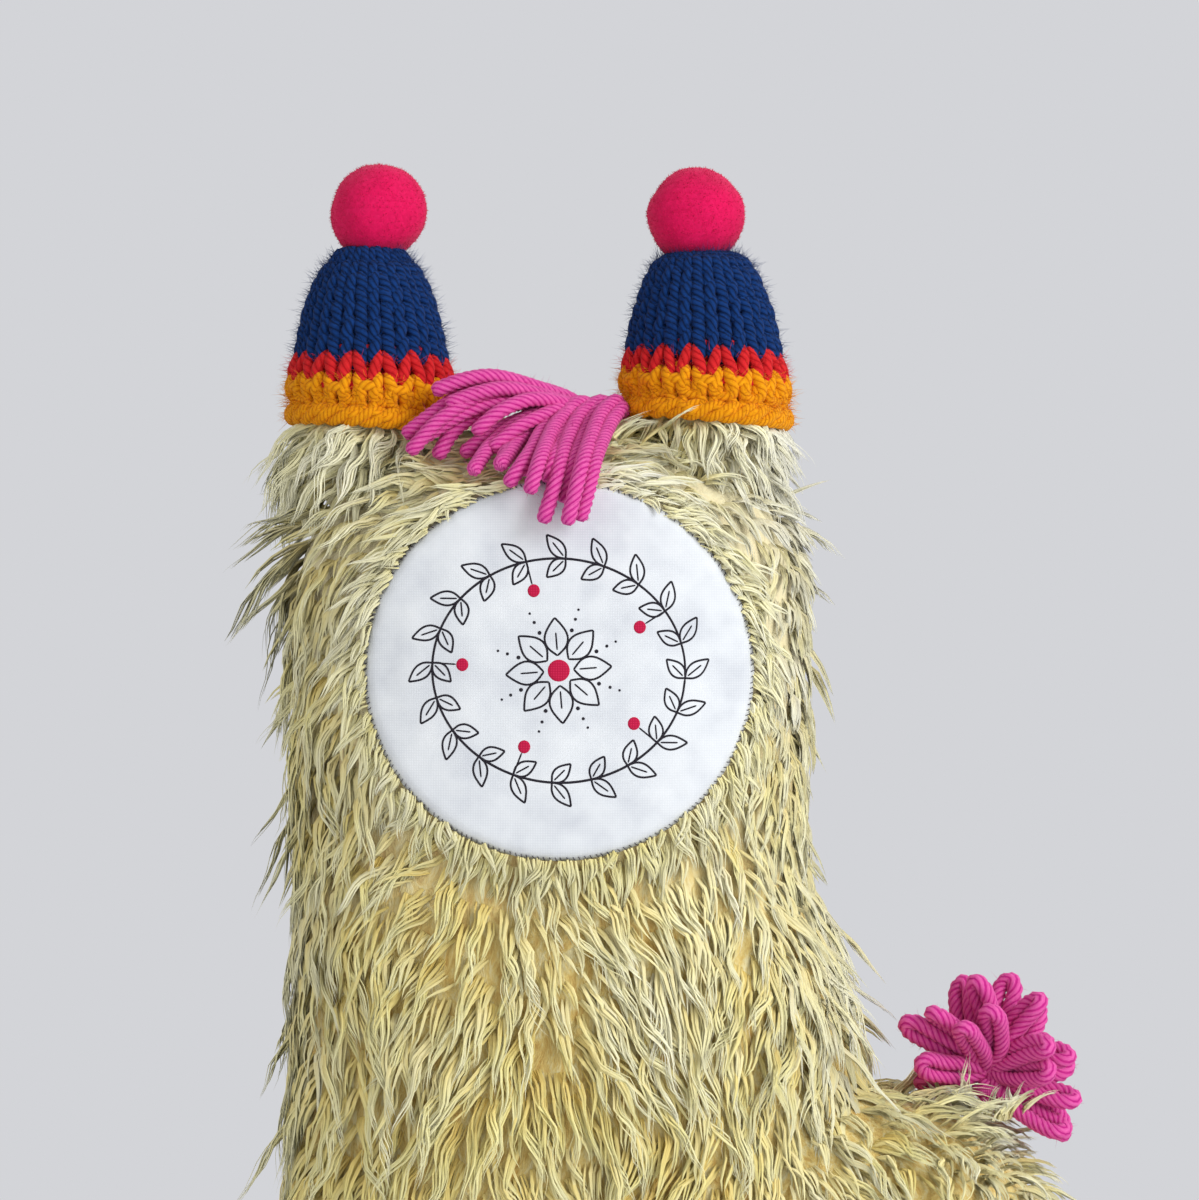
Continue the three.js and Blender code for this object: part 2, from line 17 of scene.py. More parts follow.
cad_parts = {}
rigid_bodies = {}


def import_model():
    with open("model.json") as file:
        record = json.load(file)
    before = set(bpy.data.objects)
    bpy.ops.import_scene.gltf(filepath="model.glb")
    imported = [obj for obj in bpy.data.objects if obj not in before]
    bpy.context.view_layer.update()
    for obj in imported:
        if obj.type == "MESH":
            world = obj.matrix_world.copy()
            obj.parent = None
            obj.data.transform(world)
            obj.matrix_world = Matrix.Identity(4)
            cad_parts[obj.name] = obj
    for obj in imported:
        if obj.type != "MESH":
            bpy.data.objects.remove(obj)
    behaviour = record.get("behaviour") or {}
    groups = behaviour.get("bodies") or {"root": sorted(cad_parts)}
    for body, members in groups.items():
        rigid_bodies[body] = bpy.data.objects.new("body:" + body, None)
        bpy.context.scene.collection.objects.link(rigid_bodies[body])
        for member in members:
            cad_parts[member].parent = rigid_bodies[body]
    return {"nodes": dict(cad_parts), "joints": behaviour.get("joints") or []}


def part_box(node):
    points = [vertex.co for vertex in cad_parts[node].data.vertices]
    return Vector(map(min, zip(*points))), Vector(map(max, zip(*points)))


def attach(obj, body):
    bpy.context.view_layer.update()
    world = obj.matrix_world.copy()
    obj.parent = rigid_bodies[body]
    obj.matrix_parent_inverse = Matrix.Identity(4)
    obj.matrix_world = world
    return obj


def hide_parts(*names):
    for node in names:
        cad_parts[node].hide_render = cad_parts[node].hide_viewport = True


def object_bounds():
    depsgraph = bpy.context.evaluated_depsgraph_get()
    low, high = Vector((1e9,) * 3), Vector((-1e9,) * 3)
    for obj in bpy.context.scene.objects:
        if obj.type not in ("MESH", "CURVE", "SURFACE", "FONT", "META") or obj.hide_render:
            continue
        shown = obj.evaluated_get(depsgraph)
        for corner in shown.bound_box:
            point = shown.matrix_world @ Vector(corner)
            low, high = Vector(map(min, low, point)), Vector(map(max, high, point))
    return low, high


MM = 0.001  # every size below is written in millimetres and turned to metres with this
DOWN, FORWARD = np.array([0, 0, -1.0]), np.array([0, -1.0, 0])
LEVEL = np.array([1, 1, 0])  # keeps the level part of a direction
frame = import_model()
cad_nodes = frame["nodes"]
cad_box = [list(corner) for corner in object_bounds()]
joints = {joint["name"]: joint for joint in frame["joints"]}
print("CAD box in mm:", [[round(c / MM, 1) for c in corner] for corner in cad_box])
CAD_LOW, CAD_HIGH = (np.array(corner) for corner in cad_box)
PROUD = 0.03 * (CAD_HIGH - CAD_LOW) + 9.4 * MM  # how far fur may stand out of that box

# %% [markdown]
# The photograph was taken level with the toy's neck, from about a metre away, and it crops the toy
# at the belly. The camera repeats that: it is aimed at the middle of the photographed stretch, and
# its lens is worked out from the width that the picture takes in.

# %% Camera
CAMERA_DISTANCE = 1150 * MM
VIEW_WIDTH = 300 * MM  # what the picture's width takes in, at the toy
VIEW_CENTRE = Vector((-19.9, 0, 274)) * MM
SENSOR = 36

camera_data = bpy.data.cameras.new("camera")
camera_data.sensor_width = SENSOR
camera_data.lens = SENSOR * CAMERA_DISTANCE / VIEW_WIDTH
camera = bpy.data.objects.new("camera", camera_data)
camera.location = VIEW_CENTRE - Vector((0, CAMERA_DISTANCE, 0))
camera.rotation_euler = (math.radians(90), 0, 0)
bpy.context.scene.collection.objects.link(camera)
bpy.context.scene.camera = camera
print("lens in mm:", round(camera_data.lens, 1))

# %% [markdown]
# Materials are built from nodes. Small helpers keep that readable: one turns an sRGB hex colour to
# the linear numbers that shaders use, one adds a node with its settings and links, and the others
# are short for the kinds of node that come up again and again.

# %% Helpers for materials
def linear(hex_colour):
    """An sRGB colour such as "e4d9a4" as the linear RGBA that a shader socket takes."""
    shares = [int(hex_colour[i:i + 2], 16) / 255 for i in (0, 2, 4)]
    return tuple(s / 12.92 if s <= 0.04045 else ((s + 0.055) / 1.055) ** 2.4 for s in shares) + (1.0,)


def add(tree, kind, settings=None, inputs=None):
    """Adds a node. Each input is a number, a colour or another node's output."""
    node = tree.nodes.new("ShaderNode" + kind)
    for name, value in (settings or {}).items():
        setattr(node, name, value)
    for name, value in (inputs or {}).items():
        if isinstance(value, bpy.types.NodeSocket):
            tree.links.new(value, node.inputs[name])
        else:
            node.inputs[name].default_value = value
    return node


def maths(tree, operation, first, second=0.0):
    """One sum on two values."""
    return add(tree, "Math", {"operation": operation}, {0: first, 1: second}).outputs[0]


def blend(tree, first, share, second, other_share):
    """Two values, each times its share, added up."""
    parts = [maths(tree, "MULTIPLY", *pair) for pair in ((first, share), (second, other_share))]
    return maths(tree, "ADD", *parts)


def ranged(tree, value, *limits):
    """A value brought from one range, low and high, to another, which is 0 to 1 if it isn't given."""
    return add(tree, "MapRange", inputs=dict(enumerate((value, *limits)))).outputs[0]


def mix(tree, share, first, second):
    return add(tree, "Mix", {"data_type": "RGBA"}, {0: share, 6: first, 7: second}).outputs[2]


def scaled(tree, vector, factor):
    return add(tree, "VectorMath", {"operation": "SCALE"}, {0: vector, "Scale": factor}).outputs[0]


def mottle(tree, place, scale, detail, output="Fac", **more):
    """A noise pattern."""
    inputs = {"Vector": place, "Scale": scale, "Detail": detail, **more}
    return add(tree, "TexNoise", inputs=inputs).outputs[output]


def chart_place(tree):
    """Where a point lies on its strand's UV: round the strand and along it."""
    uv = add(tree, "UVMap", {"uv_map": "OFBake"}).outputs[0]
    return add(tree, "SeparateXYZ", inputs={0: uv}).outputs[:2]


def ramp(tree, source, stops):
    """A colour ramp with (place, hex colour) stops."""
    node = add(tree, "ValToRGB", inputs={"Fac": source})
    elements = node.color_ramp.elements
    while len(elements) < len(stops):
        elements.new(0.5)
    for element, (place, colour) in zip(elements, stops, strict=True):
        element.position = place
        element.color = linear(colour)
    return node.outputs["Color"]


def new_material(name, roughness, specular, sheen=0.0):
    """A material with plain shader values, and its node tree to add a pattern to."""
    material = bpy.data.materials.new(name)
    material.use_nodes = True
    shader = material.node_tree.nodes["Principled BSDF"]
    shader.inputs["Roughness"].default_value = roughness
    shader.inputs["Specular IOR Level"].default_value = specular
    shader.inputs["Sheen Weight"].default_value = sheen
    return material, material.node_tree


def finish_shader(tree, colour, height, strength, distance):
    """Links the colour and the bump of the height to the shader."""
    shader = tree.nodes["Principled BSDF"]
    bump = add(tree, "Bump", inputs={"Strength": strength, "Distance": distance, "Height": height})
    tree.links.new(colour, shader.inputs["Base Color"])
    tree.links.new(bump.outputs[0], shader.inputs["Normal"])


# %% Helpers for meshes
def make_active(*pieces):
    """Selects these pieces alone and makes the last one active."""
    bpy.ops.object.select_all(action="DESELECT")
    for piece in pieces:
        piece.select_set(True)
    bpy.context.view_layer.objects.active = pieces[-1]


def modify(piece, kind, **settings):
    """Adds a modifier to the active piece and applies it."""
    modifier = piece.modifiers.new(kind.lower(), kind)
    for name, value in settings.items():
        setattr(modifier, name, value)
    bpy.ops.object.modifier_apply(modifier=modifier.name)


def read(items, attribute, width=3, kind=np.float32):
    """One attribute of all vertices, polygons or triangles as an array."""
    values = np.zeros(len(items) * width, kind)
    items.foreach_get(attribute, values)
    return values.reshape(-1, width)


def unit(vectors):
    return vectors / np.maximum(np.linalg.norm(vectors, axis=-1, keepdims=True), 1e-12)


def mesh_piece(name, places, faces, material, face_uvs=None, soft_normals=None):
    """A piece from arrays: places in metres, and blocks of faces with 3, 4 or more corners each.

    Soft normals, one for each place, are mixed into the shading by their length, which is from 0 to 1,
    so that a pile shades as one surface.
    """
    mesh = bpy.data.meshes.new(name)
    mesh.vertices.add(len(places))
    mesh.vertices.foreach_set("co", np.asarray(places, np.float32).ravel())
    corners = np.concatenate([block.ravel() for block in faces])
    sizes = np.concatenate([np.full(len(block), block.shape[1]) for block in faces])
    mesh.loops.add(len(corners))
    mesh.loops.foreach_set("vertex_index", corners.astype(np.int32))
    mesh.polygons.add(len(sizes))
    mesh.polygons.foreach_set("loop_start", (np.cumsum(sizes) - sizes).astype(np.int32))
    mesh.update(calc_edges=True)
    mesh.polygons.foreach_set("use_smooth", np.full(len(sizes), True))
    if face_uvs is not None:
        flat_uvs = np.concatenate([uv.reshape(-1, 2) for uv in face_uvs]).astype(np.float32)
        mesh.uv_layers.new(name="OFBake").uv.foreach_set("vector", flat_uvs.ravel())
    mesh.materials.append(material)
    if soft_normals is not None:
        share = np.linalg.norm(soft_normals, axis=1, keepdims=True)
        mixed = unit(read(mesh.vertices, "normal") * (1 - share) + soft_normals)
        mesh.normals_split_custom_set_from_vertices(mixed)
    piece = bpy.data.objects.new(name, mesh)
    bpy.context.scene.collection.objects.link(piece)
    return piece


def dress(piece, body, slot, *replaced):
    """Gives a piece its body and hides the CAD nodes that it stands for. The slot is not used."""
    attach(piece, body)
    if replaced:
        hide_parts(*replaced)
    print(piece.name, sum(len(polygon.vertices) - 2 for polygon in piece.data.polygons), "triangles")


def tube_piece(name, body, parts, material, slot, *replaced, soft_normals=None):
    """One piece of several (places, faces, UVs), which may stand for CAD nodes."""
    places, faces, uvs, start = [], [], [], 0
    for part_places, part_faces, part_uvs in parts:
        places.append(part_places)
        faces += [block + start for block in part_faces]
        uvs += list(part_uvs)
        start += len(part_places)
    dress(mesh_piece(name, np.concatenate(places), faces, material, uvs, soft_normals), body, slot, *replaced)


def middle_and_half(node):
    """The middle of a CAD node's box, and half its size."""
    low, high = (np.array(corner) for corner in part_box(node))
    return (low + high) / 2, (high - low) / 2


def turns(count):
    """That many equal steps round a circle."""
    return np.arange(count) * 2 * np.pi / count


def band_quads(rings, spokes, closed=False):
    """Quads between rings of points that follow each other."""
    spoke = np.arange(spokes)
    after = (spoke + 1) % spokes
    ring = np.arange(rings if closed else rings - 1)[:, None] * spokes
    following = (ring + spokes) % (rings * spokes)
    return np.stack([ring + spoke, ring + after, following + after, following + spoke], -1).reshape(-1, 4)


def fan(first, spokes, tip):
    """Triangles from a ring of points to one point."""
    spoke = np.arange(spokes)
    return np.stack([first + spoke, first + (spoke + 1) % spokes, np.full(spokes, tip)], -1)


# %% [markdown]
# Fur, fuzz and yarn are all thin tubes along a path, thousands of them. Placing them by hand or
# with a particle system would give no mesh that can be exported, so one function sweeps a section
# along many paths at once with arrays. A strand may end in a point, and a yarn's section has a
# lobe for each of its plies and turns as it goes along.

# %% The sweep
QUAD_CORNERS = ((0, 0), (1, 0), (1, 1), (0, 1))


def sweep(paths, radii, up, sides, point_end=False, closed=False, twist=0.0, tiles=1):
    """Tubes along paths of (strands, points, 3), as places, blocks of faces and their UVs.

    U runs round the tube and V along it, from 0 to 1 in each of the tiles.
    """
    strands, points = paths.shape[:2]
    tangent = unit(np.roll(paths, -1, 1) - np.roll(paths, 1, 1) if closed else np.gradient(paths, axis=1))
    across = unit(np.cross(np.broadcast_to(up, paths.shape), tangent))
    over = np.cross(tangent, across)
    turn = turns(sides) + np.broadcast_to(twist, (strands, points))[..., None]
    around = across[:, :, None] * np.cos(turn)[..., None] + over[:, :, None] * np.sin(turn)[..., None]
    rings = points - 1 if point_end else points
    radii = np.broadcast_to(radii, (strands, points, sides))
    places = (paths[:, :, None] + around * radii[..., None])[:, :rings].reshape(strands, -1, 3)
    if point_end:
        places = np.concatenate([places, paths[:, -1:]], 1)
    side = np.arange(sides)
    each_tile = (points if closed else points - 1) / tiles
    low = (np.arange(rings if closed else rings - 1)[:, None] % each_tile) / each_tile
    grid = [np.stack(np.broadcast_arrays(side[None] / sides + u / sides, low + v / each_tile), -1)
            for u, v in QUAD_CORNERS]
    blocks = [(band_quads(rings, sides, closed), np.stack(grid, 2).reshape(-1, 4, 2))]
    round_uv = np.stack([side / sides, np.full(sides, 0.5)], -1)
    last = (rings - 1) * sides
    if point_end:
        start = 1 - 1 / each_tile
        fan_uv = [[[s / sides, start], [(s + 1) / sides, start], [(s + 0.5) / sides, 1]] for s in side]
        blocks.append((fan(last, sides, rings * sides), np.array(fan_uv)))
    elif not closed:
        blocks.append((last + side[None], round_uv[None]))
    if not closed:
        blocks.append((side[::-1][None], round_uv[::-1][None]))
    first = np.arange(strands)[:, None, None] * places.shape[1]
    faces = [(block[None] + first).reshape(-1, block.shape[1]) for block, _ in blocks]
    uvs = [np.broadcast_to(uv, (strands, *uv.shape)) for _, uv in blocks]
    return places.reshape(-1, 3), faces, uvs


# %% [markdown]
# The pile fabric is woven backing with long mohair-like locks. Seen close, a lock is a bundle of
# shiny fibres that starts apart at the backing, draws together and ends in a point. Its golden roots
# are painted light: their colour stands in for light that comes through the pile. Its tips are pale
# cream. The colour of a strand depends on two things only: how far along it a point is, and which
# tint it drew. Both are kept in the strand's UV, as on a colour chart, so the chart also works in a
# game engine.

# %% Pile materials, coloured by a chart
TINTS = 32  # columns of the colour chart
STREAKS = 5  # fibres seen across one thick strand


def pile_material(name, root, body, tip, roughness, specular, sheen):
    """Pile whose colour goes from root over body to tip. Each is a ramp over the tints."""
    material, tree = new_material(name, roughness, specular, sheen)
    across, along = chart_place(tree)
    columns = maths(tree, "MULTIPLY", across, TINTS)
    column = maths(tree, "FLOOR", columns)
    tint = maths(tree, "DIVIDE", column, TINTS)
    round_strand = maths(tree, "MULTIPLY", maths(tree, "FRACT", columns), STREAKS)
    place = add(tree, "CombineXYZ", inputs={0: round_strand, 1: along, 2: column}).outputs[0]
    streaks = mottle(tree, place, 2.2, 3, Roughness=0.6)
    colour, body_colour, tip_colour = (ramp(tree, tint, stops) for stops in (root, body, tip))
    colour = mix(tree, ranged(tree, along, 0.08, 0.5), colour, body_colour)
    colour = mix(tree, ranged(tree, along, 0.45, 0.95), colour, tip_colour)
    # The streaks darken and lighten the colour on the same noise as the bump: partly the fibres' own tone,
    # partly painted shade between fibres and painted highlight on them.
    colour = scaled(tree, colour, ranged(tree, streaks, 0.3, 0.7, 0.8, 1.1))
    finish_shader(tree, colour, streaks, 0.5, 0.3 * MM)
    return material


fur = pile_material(
    "mohair_pile_cream",
    # The golden root colours are painted light, which stands in for light that shines through the pile.
    root=[(0.0, "e9bc54"), (0.35, "f2d676"), (0.7, "f6e7a6"), (1.0, "f7efd0")],
    body=[(0.0, "f2df86"), (0.3, "f6ec9e"), (0.7, "f9f3c2"), (1.0, "fbf9e6")],
    tip=[(0.0, "f8f1ae"), (0.35, "faf6c8"), (0.7, "fcfadc"), (1.0, "fdfcf0")],
    roughness=0.4, specular=0.45, sheen=0.0)
print("fur material:", len(fur.node_tree.nodes), "nodes")

# %% Strands of pile and their pieces
PILE_SIDES = 3  # of one strand's section
PIECE_LIMIT = 190000  # triangles in one piece of fur


def wander(places, size, offset):
    """A smooth random number, about -1 to 1, that changes over the given size."""
    return np.array([noise.noise(Vector(place / size) + Vector(offset)) for place in places]) * 1.6


def rise(values, start, over):
    """0 up to the start, and from there up to 1 over a stretch."""
    return np.clip((values - start) / over, 0, 1)


def tint_columns(places, size, offset, seed, middle=0.52):
    """A column of the chart for each place: a slow wander over the surface, and a little chance."""
    rng = np.random.default_rng(seed)
    tone = middle + 0.2 * wander(places, size, offset) + rng.normal(0, 0.07, len(places))
    return np.clip(tone * TINTS, 0, TINTS - 1).astype(int)


def fur_columns(places, seed):
    """Columns for the fur: golden low down and pale on the head. It is paler still on its right, which is
    painted light.
    """
    height, right = rise(places[:, 2], 120 * MM, 160 * MM), rise(places[:, 0], -10 * MM, 50 * MM)
    # The term for the right side is painted light: that side is made paler because it is the lit side.
    middle = 0.42 + 0.16 * height + 0.14 * right + 0.14 * height * right
    return tint_columns(places, 30 * MM, (0, 7.7, 0), seed, middle)


def chart_uvs(uvs, columns, low, high):
    """Moves each strand's UVs to its column of the colour chart."""
    placed = []
    for uv in uvs:
        across = (columns[:, None, None] + 0.15 + 0.7 * uv[..., 0]) / TINTS
        placed.append(np.stack([across, low + (high - low) * uv[..., 1]], -1))
    return placed


def chosen(strands, mask):
    """Some of a set of strands."""
    return {key: value if key in ("chart", "soft") else value[mask] for key, value in strands.items()}


def fur_pieces(name, body, sets):
    """Strands as pieces, as many as it takes to keep each under the limit of triangles."""
    sets = [s for s in sets if len(s["paths"])]
    total = sum(s["paths"].shape[0] * ((s["paths"].shape[1] - 1) * PILE_SIDES * 2 - 2) for s in sets)
    count = math.ceil(total / PIECE_LIMIT)
    for number in range(count):
        parts, soft = [], []
        for strands in sets:
            share = chosen(strands, np.arange(len(strands["paths"])) % count == number)
            ups, radii = share["ups"], share["radii"]
            places, faces, uvs = sweep(share["paths"], radii, ups[:, None], PILE_SIDES, point_end=True)
            parts.append((places, faces, chart_uvs(uvs, share["columns"], *share["chart"])))
            soft.append(np.repeat(ups * share["soft"], len(places) // len(ups), 0))
        part_name = f"{name}_{number + 1}" if count > 1 else name
        tube_piece(part_name, body, parts, fur, "cream_fur", soft_normals=np.concatenate(soft))


# %% [markdown]
# Under the locks lies the backing with its short, matted underfur. It shows only in the gaps, as a
# golden felt, so it needs a mottled colour and a fibrous bump more than a fine shape. Its bright
# golden colour is partly painted light, which stands in for light that shines through the pile.

# %% Underfur material: woven backing with matted pile
FIBRE_CLUMP = 2.2 * MM  # width of a matted tuft


def matted_material(name, dark, middle, light, stretch=0.28):
    """Tufts drawn out up and down, crossed by finer fibres."""
    material, tree = new_material(name, roughness=0.8, specular=0.25, sheen=0.1)
    place = add(tree, "TexCoord").outputs["Object"]
    sway = scaled(tree, mottle(tree, place, 1 / (14 * MM), 1, "Color"), 9 * MM)
    swayed = add(tree, "VectorMath", {"operation": "ADD"}, {0: place, 1: sway}).outputs[0]
    drawn = add(tree, "Mapping", inputs={0: swayed, "Scale": (1, 1, stretch)}).outputs[0]
    tufts = mottle(tree, drawn, 1 / FIBRE_CLUMP, 2, Distortion=0.6)
    fine = mottle(tree, drawn, 1 / (0.5 * MM), 3, Roughness=0.7)
    height = blend(tree, tufts, 0.6, fine, 0.4)
    up = add(tree, "SeparateXYZ", inputs={0: place}).outputs[2]
    colour = ramp(tree, height, [(0.35, dark), (0.5, middle), (0.65, light)])
    paler = mix(tree, ranged(tree, up, 190 * MM, 270 * MM, 0, 0.75), colour, linear("fbf4d0"))
    finish_shader(tree, paler, height, 0.8, 1.2 * MM)
    return material


# Golden colours kept bright as painted light: they stand in for light that comes through the pile into the
# gaps.
underfur = matted_material("pile_backing_golden", "cfa658", "ead184", "f7edbc")

# %% [markdown]
# The face is a round of white cotton, and it lies on a little wadding. Its place and its curve are
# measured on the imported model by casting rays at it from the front.

# %% Measure the face
FACE_CENTRE, FACE_HALF = middle_and_half("face_patch")
FACE_TILT = math.radians(-3.5)
TILT_COS, TILT_SIN = math.cos(FACE_TILT), math.sin(FACE_TILT)


def surface_of(*pieces):
    """A tree to cast rays at, over some objects that lie at the origin."""
    places, faces = [], []
    for piece in pieces:
        faces += [[v + len(places) for v in polygon.vertices] for polygon in piece.data.polygons]
        places += [vertex.co.copy() for vertex in piece.data.vertices]
    return BVHTree.FromPolygons(places, faces)


def depths_at(surface, across, up, fallback):
    """The Y of the surface at each X and Z, seen from the front."""
    spots = zip(across, up, strict=True)
    hits = [surface.ray_cast(Vector((x, -1, z)), Vector((0, 1, 0)))[0] for x, z in spots]
    return np.array([hit.y if hit else fallback for hit in hits])


def on_face(across, up):
    """A point of the face, given along its own tilted axes, as x and z."""
    return (across * TILT_COS - up * TILT_SIN + FACE_CENTRE[0],
            across * TILT_SIN + up * TILT_COS + FACE_CENTRE[2])


def face_share(places):
    """How far out places lie on the face's ellipse, 1 at its edge, and the way out from its middle."""
    x, z = places[..., 0] - FACE_CENTRE[0], places[..., 2] - FACE_CENTRE[2]
    across, up = x * TILT_COS + z * TILT_SIN, -x * TILT_SIN + z * TILT_COS
    return np.hypot(across / FACE_HALF[0], up / FACE_HALF[2]), unit(np.stack([x, np.zeros_like(x), z], -1))


def polar_grid(rings, spokes, reach=1.0):
    """The middle of the face and rings of points round it, as x and z."""
    share, turn = np.arange(1, rings + 1) / rings * reach, turns(spokes)
    across = np.append(0, np.outer(share, np.cos(turn)).ravel() * FACE_HALF[0])
    up = np.append(0, np.outer(share, np.sin(turn)).ravel() * FACE_HALF[2])
    return on_face(across, up)


def disc_faces(rings, spokes):
    """Triangles round the middle of a polar grid and quads between its rings, facing -Y."""
    return [np.roll(fan(1, spokes, 0), 1, 1), 1 + band_quads(rings, spokes)[:, [0, 3, 2, 1]]]


patch_surface = surface_of(cad_nodes["face_patch"])
print("face in mm:", [round(v / MM, 1) for v in FACE_HALF * 2])

# %% [markdown]
# The backing is the outside of the filling. Copies of the wads of filling are joined, and a voxel
# remesh melts them into one skin. Smoothing rounds off the flat facets, as stuffing does. The body
# also gets a plug of wadding behind the face, so that the cotton has something to lie on.

# %% Backing of the body, ears and legs
SKIN_VOXEL = 2.8 * MM
PLUG_RINGS, PLUG_SPOKES, PLUG_REACH = 8, 48, 0.97
PLUG_DEPTH = 14 * MM
PLUG_BEHIND = 1.6 * MM  # how far the finished backing lies behind the patch
MAT_THICKNESS = 4.8 * MM  # backing cloth and the matted foot of the pile
LEG_NAMES = ("chest_near", "chest_far", "rump_near", "rump_far")


def backing_piece(name, body, fillings, replaced, thickness, extra=()):
    """A skin over copies of the filling nodes, which stands for the replaced nodes."""
    parts = list(extra)
    for filling in fillings:
        copy = bpy.data.objects.new(filling + "_copy", cad_nodes[filling].data.copy())
        bpy.context.scene.collection.objects.link(copy)
        parts.append(copy)
    make_active(*parts)
    if len(parts) > 1:
        bpy.ops.object.join()
    piece = parts[-1]
    piece.name = name
    modify(piece, "REMESH", mode="VOXEL", voxel_size=SKIN_VOXEL)
    modify(piece, "SMOOTH", factor=0.6, iterations=10)
    modify(piece, "DISPLACE", strength=thickness, mid_level=0)
    bpy.ops.object.shade_smooth()
    piece.data.materials.clear()
    piece.data.materials.append(underfur)
    dress(piece, body, "cream_fur", *replaced)
    return piece


def limb_backing(limb, thickness):
    """The backing of an ear or a leg, over its one filling."""
    filling = f"{limb}_filling"
    return backing_piece(f"{limb}_backing", limb, [filling], [f"{limb}_fabric", filling], thickness)


across, up = polar_grid(PLUG_RINGS, PLUG_SPOKES, PLUG_REACH)
depth = depths_at(patch_surface, across, up, FACE_CENTRE[1]) + PLUG_BEHIND + MAT_THICKNESS
plug_faces = disc_faces(PLUG_RINGS, PLUG_SPOKES)
plug = mesh_piece("plug_copy", np.stack([across, depth, up], -1), plug_faces, underfur)
make_active(plug)
bpy.ops.object.mode_set(mode="EDIT")
bpy.ops.mesh.select_all(action="SELECT")
bpy.ops.mesh.extrude_region_move(TRANSFORM_OT_translate={"value": (0, PLUG_DEPTH, 0)})
bpy.ops.mesh.select_all(action="SELECT")
bpy.ops.mesh.normals_make_consistent(inside=False)
bpy.ops.object.mode_set(mode="OBJECT")
body_backing = backing_piece(
    "body_backing", "body", ["neck_filling", "trunk_filling"],
    ["front_fur_panel", "back_fur_panel", "neck_filling", "trunk_filling", "face_padding"],
    MAT_THICKNESS, extra=[plug])
ear_backings = {side: limb_backing(f"{side}_ear", 1 * MM) for side in ("left", "right")}
leg_backings = {leg: limb_backing(f"{leg}_leg", 1.5 * MM) for leg in LEG_NAMES}

# %% [markdown]
# The forelock and the tail are thick plied yarn. Each strand is tied in its knot at the root and
# hangs over in an arch to a blunt cut end, and the tail is tied in loops. The lobes of the plies
# are real shape here, because the yarn is thick and near the eye.

# %% Yarn material: spun and plied wool or acrylic
def yarn_material(name, dark, middle, light, plies, twists):
    """Plies that go round the yarn this many times in one tile of its UV, with a fibrous bump. The colour
    follows the bump: dark in the grooves as painted shade, light on the plies as painted highlight.
    """
    material, tree = new_material(name, roughness=0.85, specular=0.1, sheen=0.04)
    across, along = chart_place(tree)
    lay = maths(tree, "ADD", across, maths(tree, "MULTIPLY", along, twists))
    ridge = maths(tree, "ABSOLUTE", maths(tree, "SINE", maths(tree, "MULTIPLY", lay, math.pi * plies)))
    angle = maths(tree, "MULTIPLY", lay, 2 * math.pi)
    wave = maths(tree, "SINE", maths(tree, "MULTIPLY", along, 2 * math.pi))
    place = add(tree, "CombineXYZ", inputs={
        0: maths(tree, "SINE", angle),
        1: maths(tree, "COSINE", angle),
        2: maths(tree, "MULTIPLY", wave, 0.3),
    })
    fibres = mottle(tree, place.outputs[0], 7, 4, Roughness=0.7)
    height = blend(tree, maths(tree, "POWER", ridge, 0.6), 0.5, fibres, 0.8)
    colour = ramp(tree, height, [(0.25, dark), (0.6, middle), (0.95, light)])
    finish_shader(tree, colour, height, 0.8, 0.3 * MM)
    return material


def fuzz(roots, ways, length, half, seed, uv_place=(0.17, 0.5)):
    """Short loose hairs that leave a yarn and curl over. Half is half of their width."""
    rng = np.random.default_rng(seed)
    steps = np.linspace(0, 1, 3)[None, :, None]
    way = unit(ways + rng.normal(0, 0.45, ways.shape))[:, None]
    bend = unit(rng.normal(0, 1, ways.shape))[:, None]
    reach = (length * rng.uniform(0.4, 1.2, len(roots)))[:, None, None]
    paths = roots[:, None] + reach * (way * steps + bend * 0.45 * steps ** 2)
    places, faces, uvs = sweep(paths, half * (1.1 - steps), bend, 3, point_end=True)
    return places, faces, [np.array(uv_place) + 0.02 * uv for uv in uvs]


# %% Plied yarn
PLY_PITCH = 11.4 * MM  # one turn of the plies
PLY_RINGS = 17  # rings in that turn
PLIES = 6
PLY_SECTION = np.tile([0.9, 1.06], PLIES)  # the yarn's outline: a dip and a lobe for each ply
CUT_END = (0.97, 0.88, 0.6)  # how the last rings of a cut yarn draw in
YARN_HAIR = (1.8 * MM, 0.045 * MM)  # length and radius
SPAN_STEPS = 16  # of a smooth curve, from each of its points to the next
# Dark, middle and light pink: the dark is painted shade in the grooves between plies, the light a painted
# highlight on them.
PINK = ("9c1269", "c92a8c", "f06cb8")
pink_yarn = yarn_material("plied_acrylic_pink", *PINK, PLIES, 0)


def step_lengths(points):
    return np.linalg.norm(np.diff(points, axis=0), axis=1)


def smooth_route(points, steps):
    """A smooth curve through the points, cut into that many equal steps."""
    ends = np.concatenate([[2 * points[0] - points[1]], points, [2 * points[-1] - points[-2]]])
    t = np.linspace(0, 1, SPAN_STEPS, endpoint=False)[:, None]
    pieces = []
    for a, b, c, d in zip(ends[:-3], ends[1:-2], ends[2:-1], ends[3:], strict=True):
        pieces.append(0.5 * (2 * b + (c - a) * t + (2 * a - 5 * b + 4 * c - d) * t ** 2
                             + (3 * b - 3 * c + d - a) * t ** 3))
    dense = np.concatenate([*pieces, points[-1:]])
    gone = np.append(0, np.cumsum(step_lengths(dense)))
    wanted = np.linspace(0, gone[-1], steps + 1)
    return np.stack([np.interp(wanted, gone, dense[:, axis]) for axis in range(3)], -1)


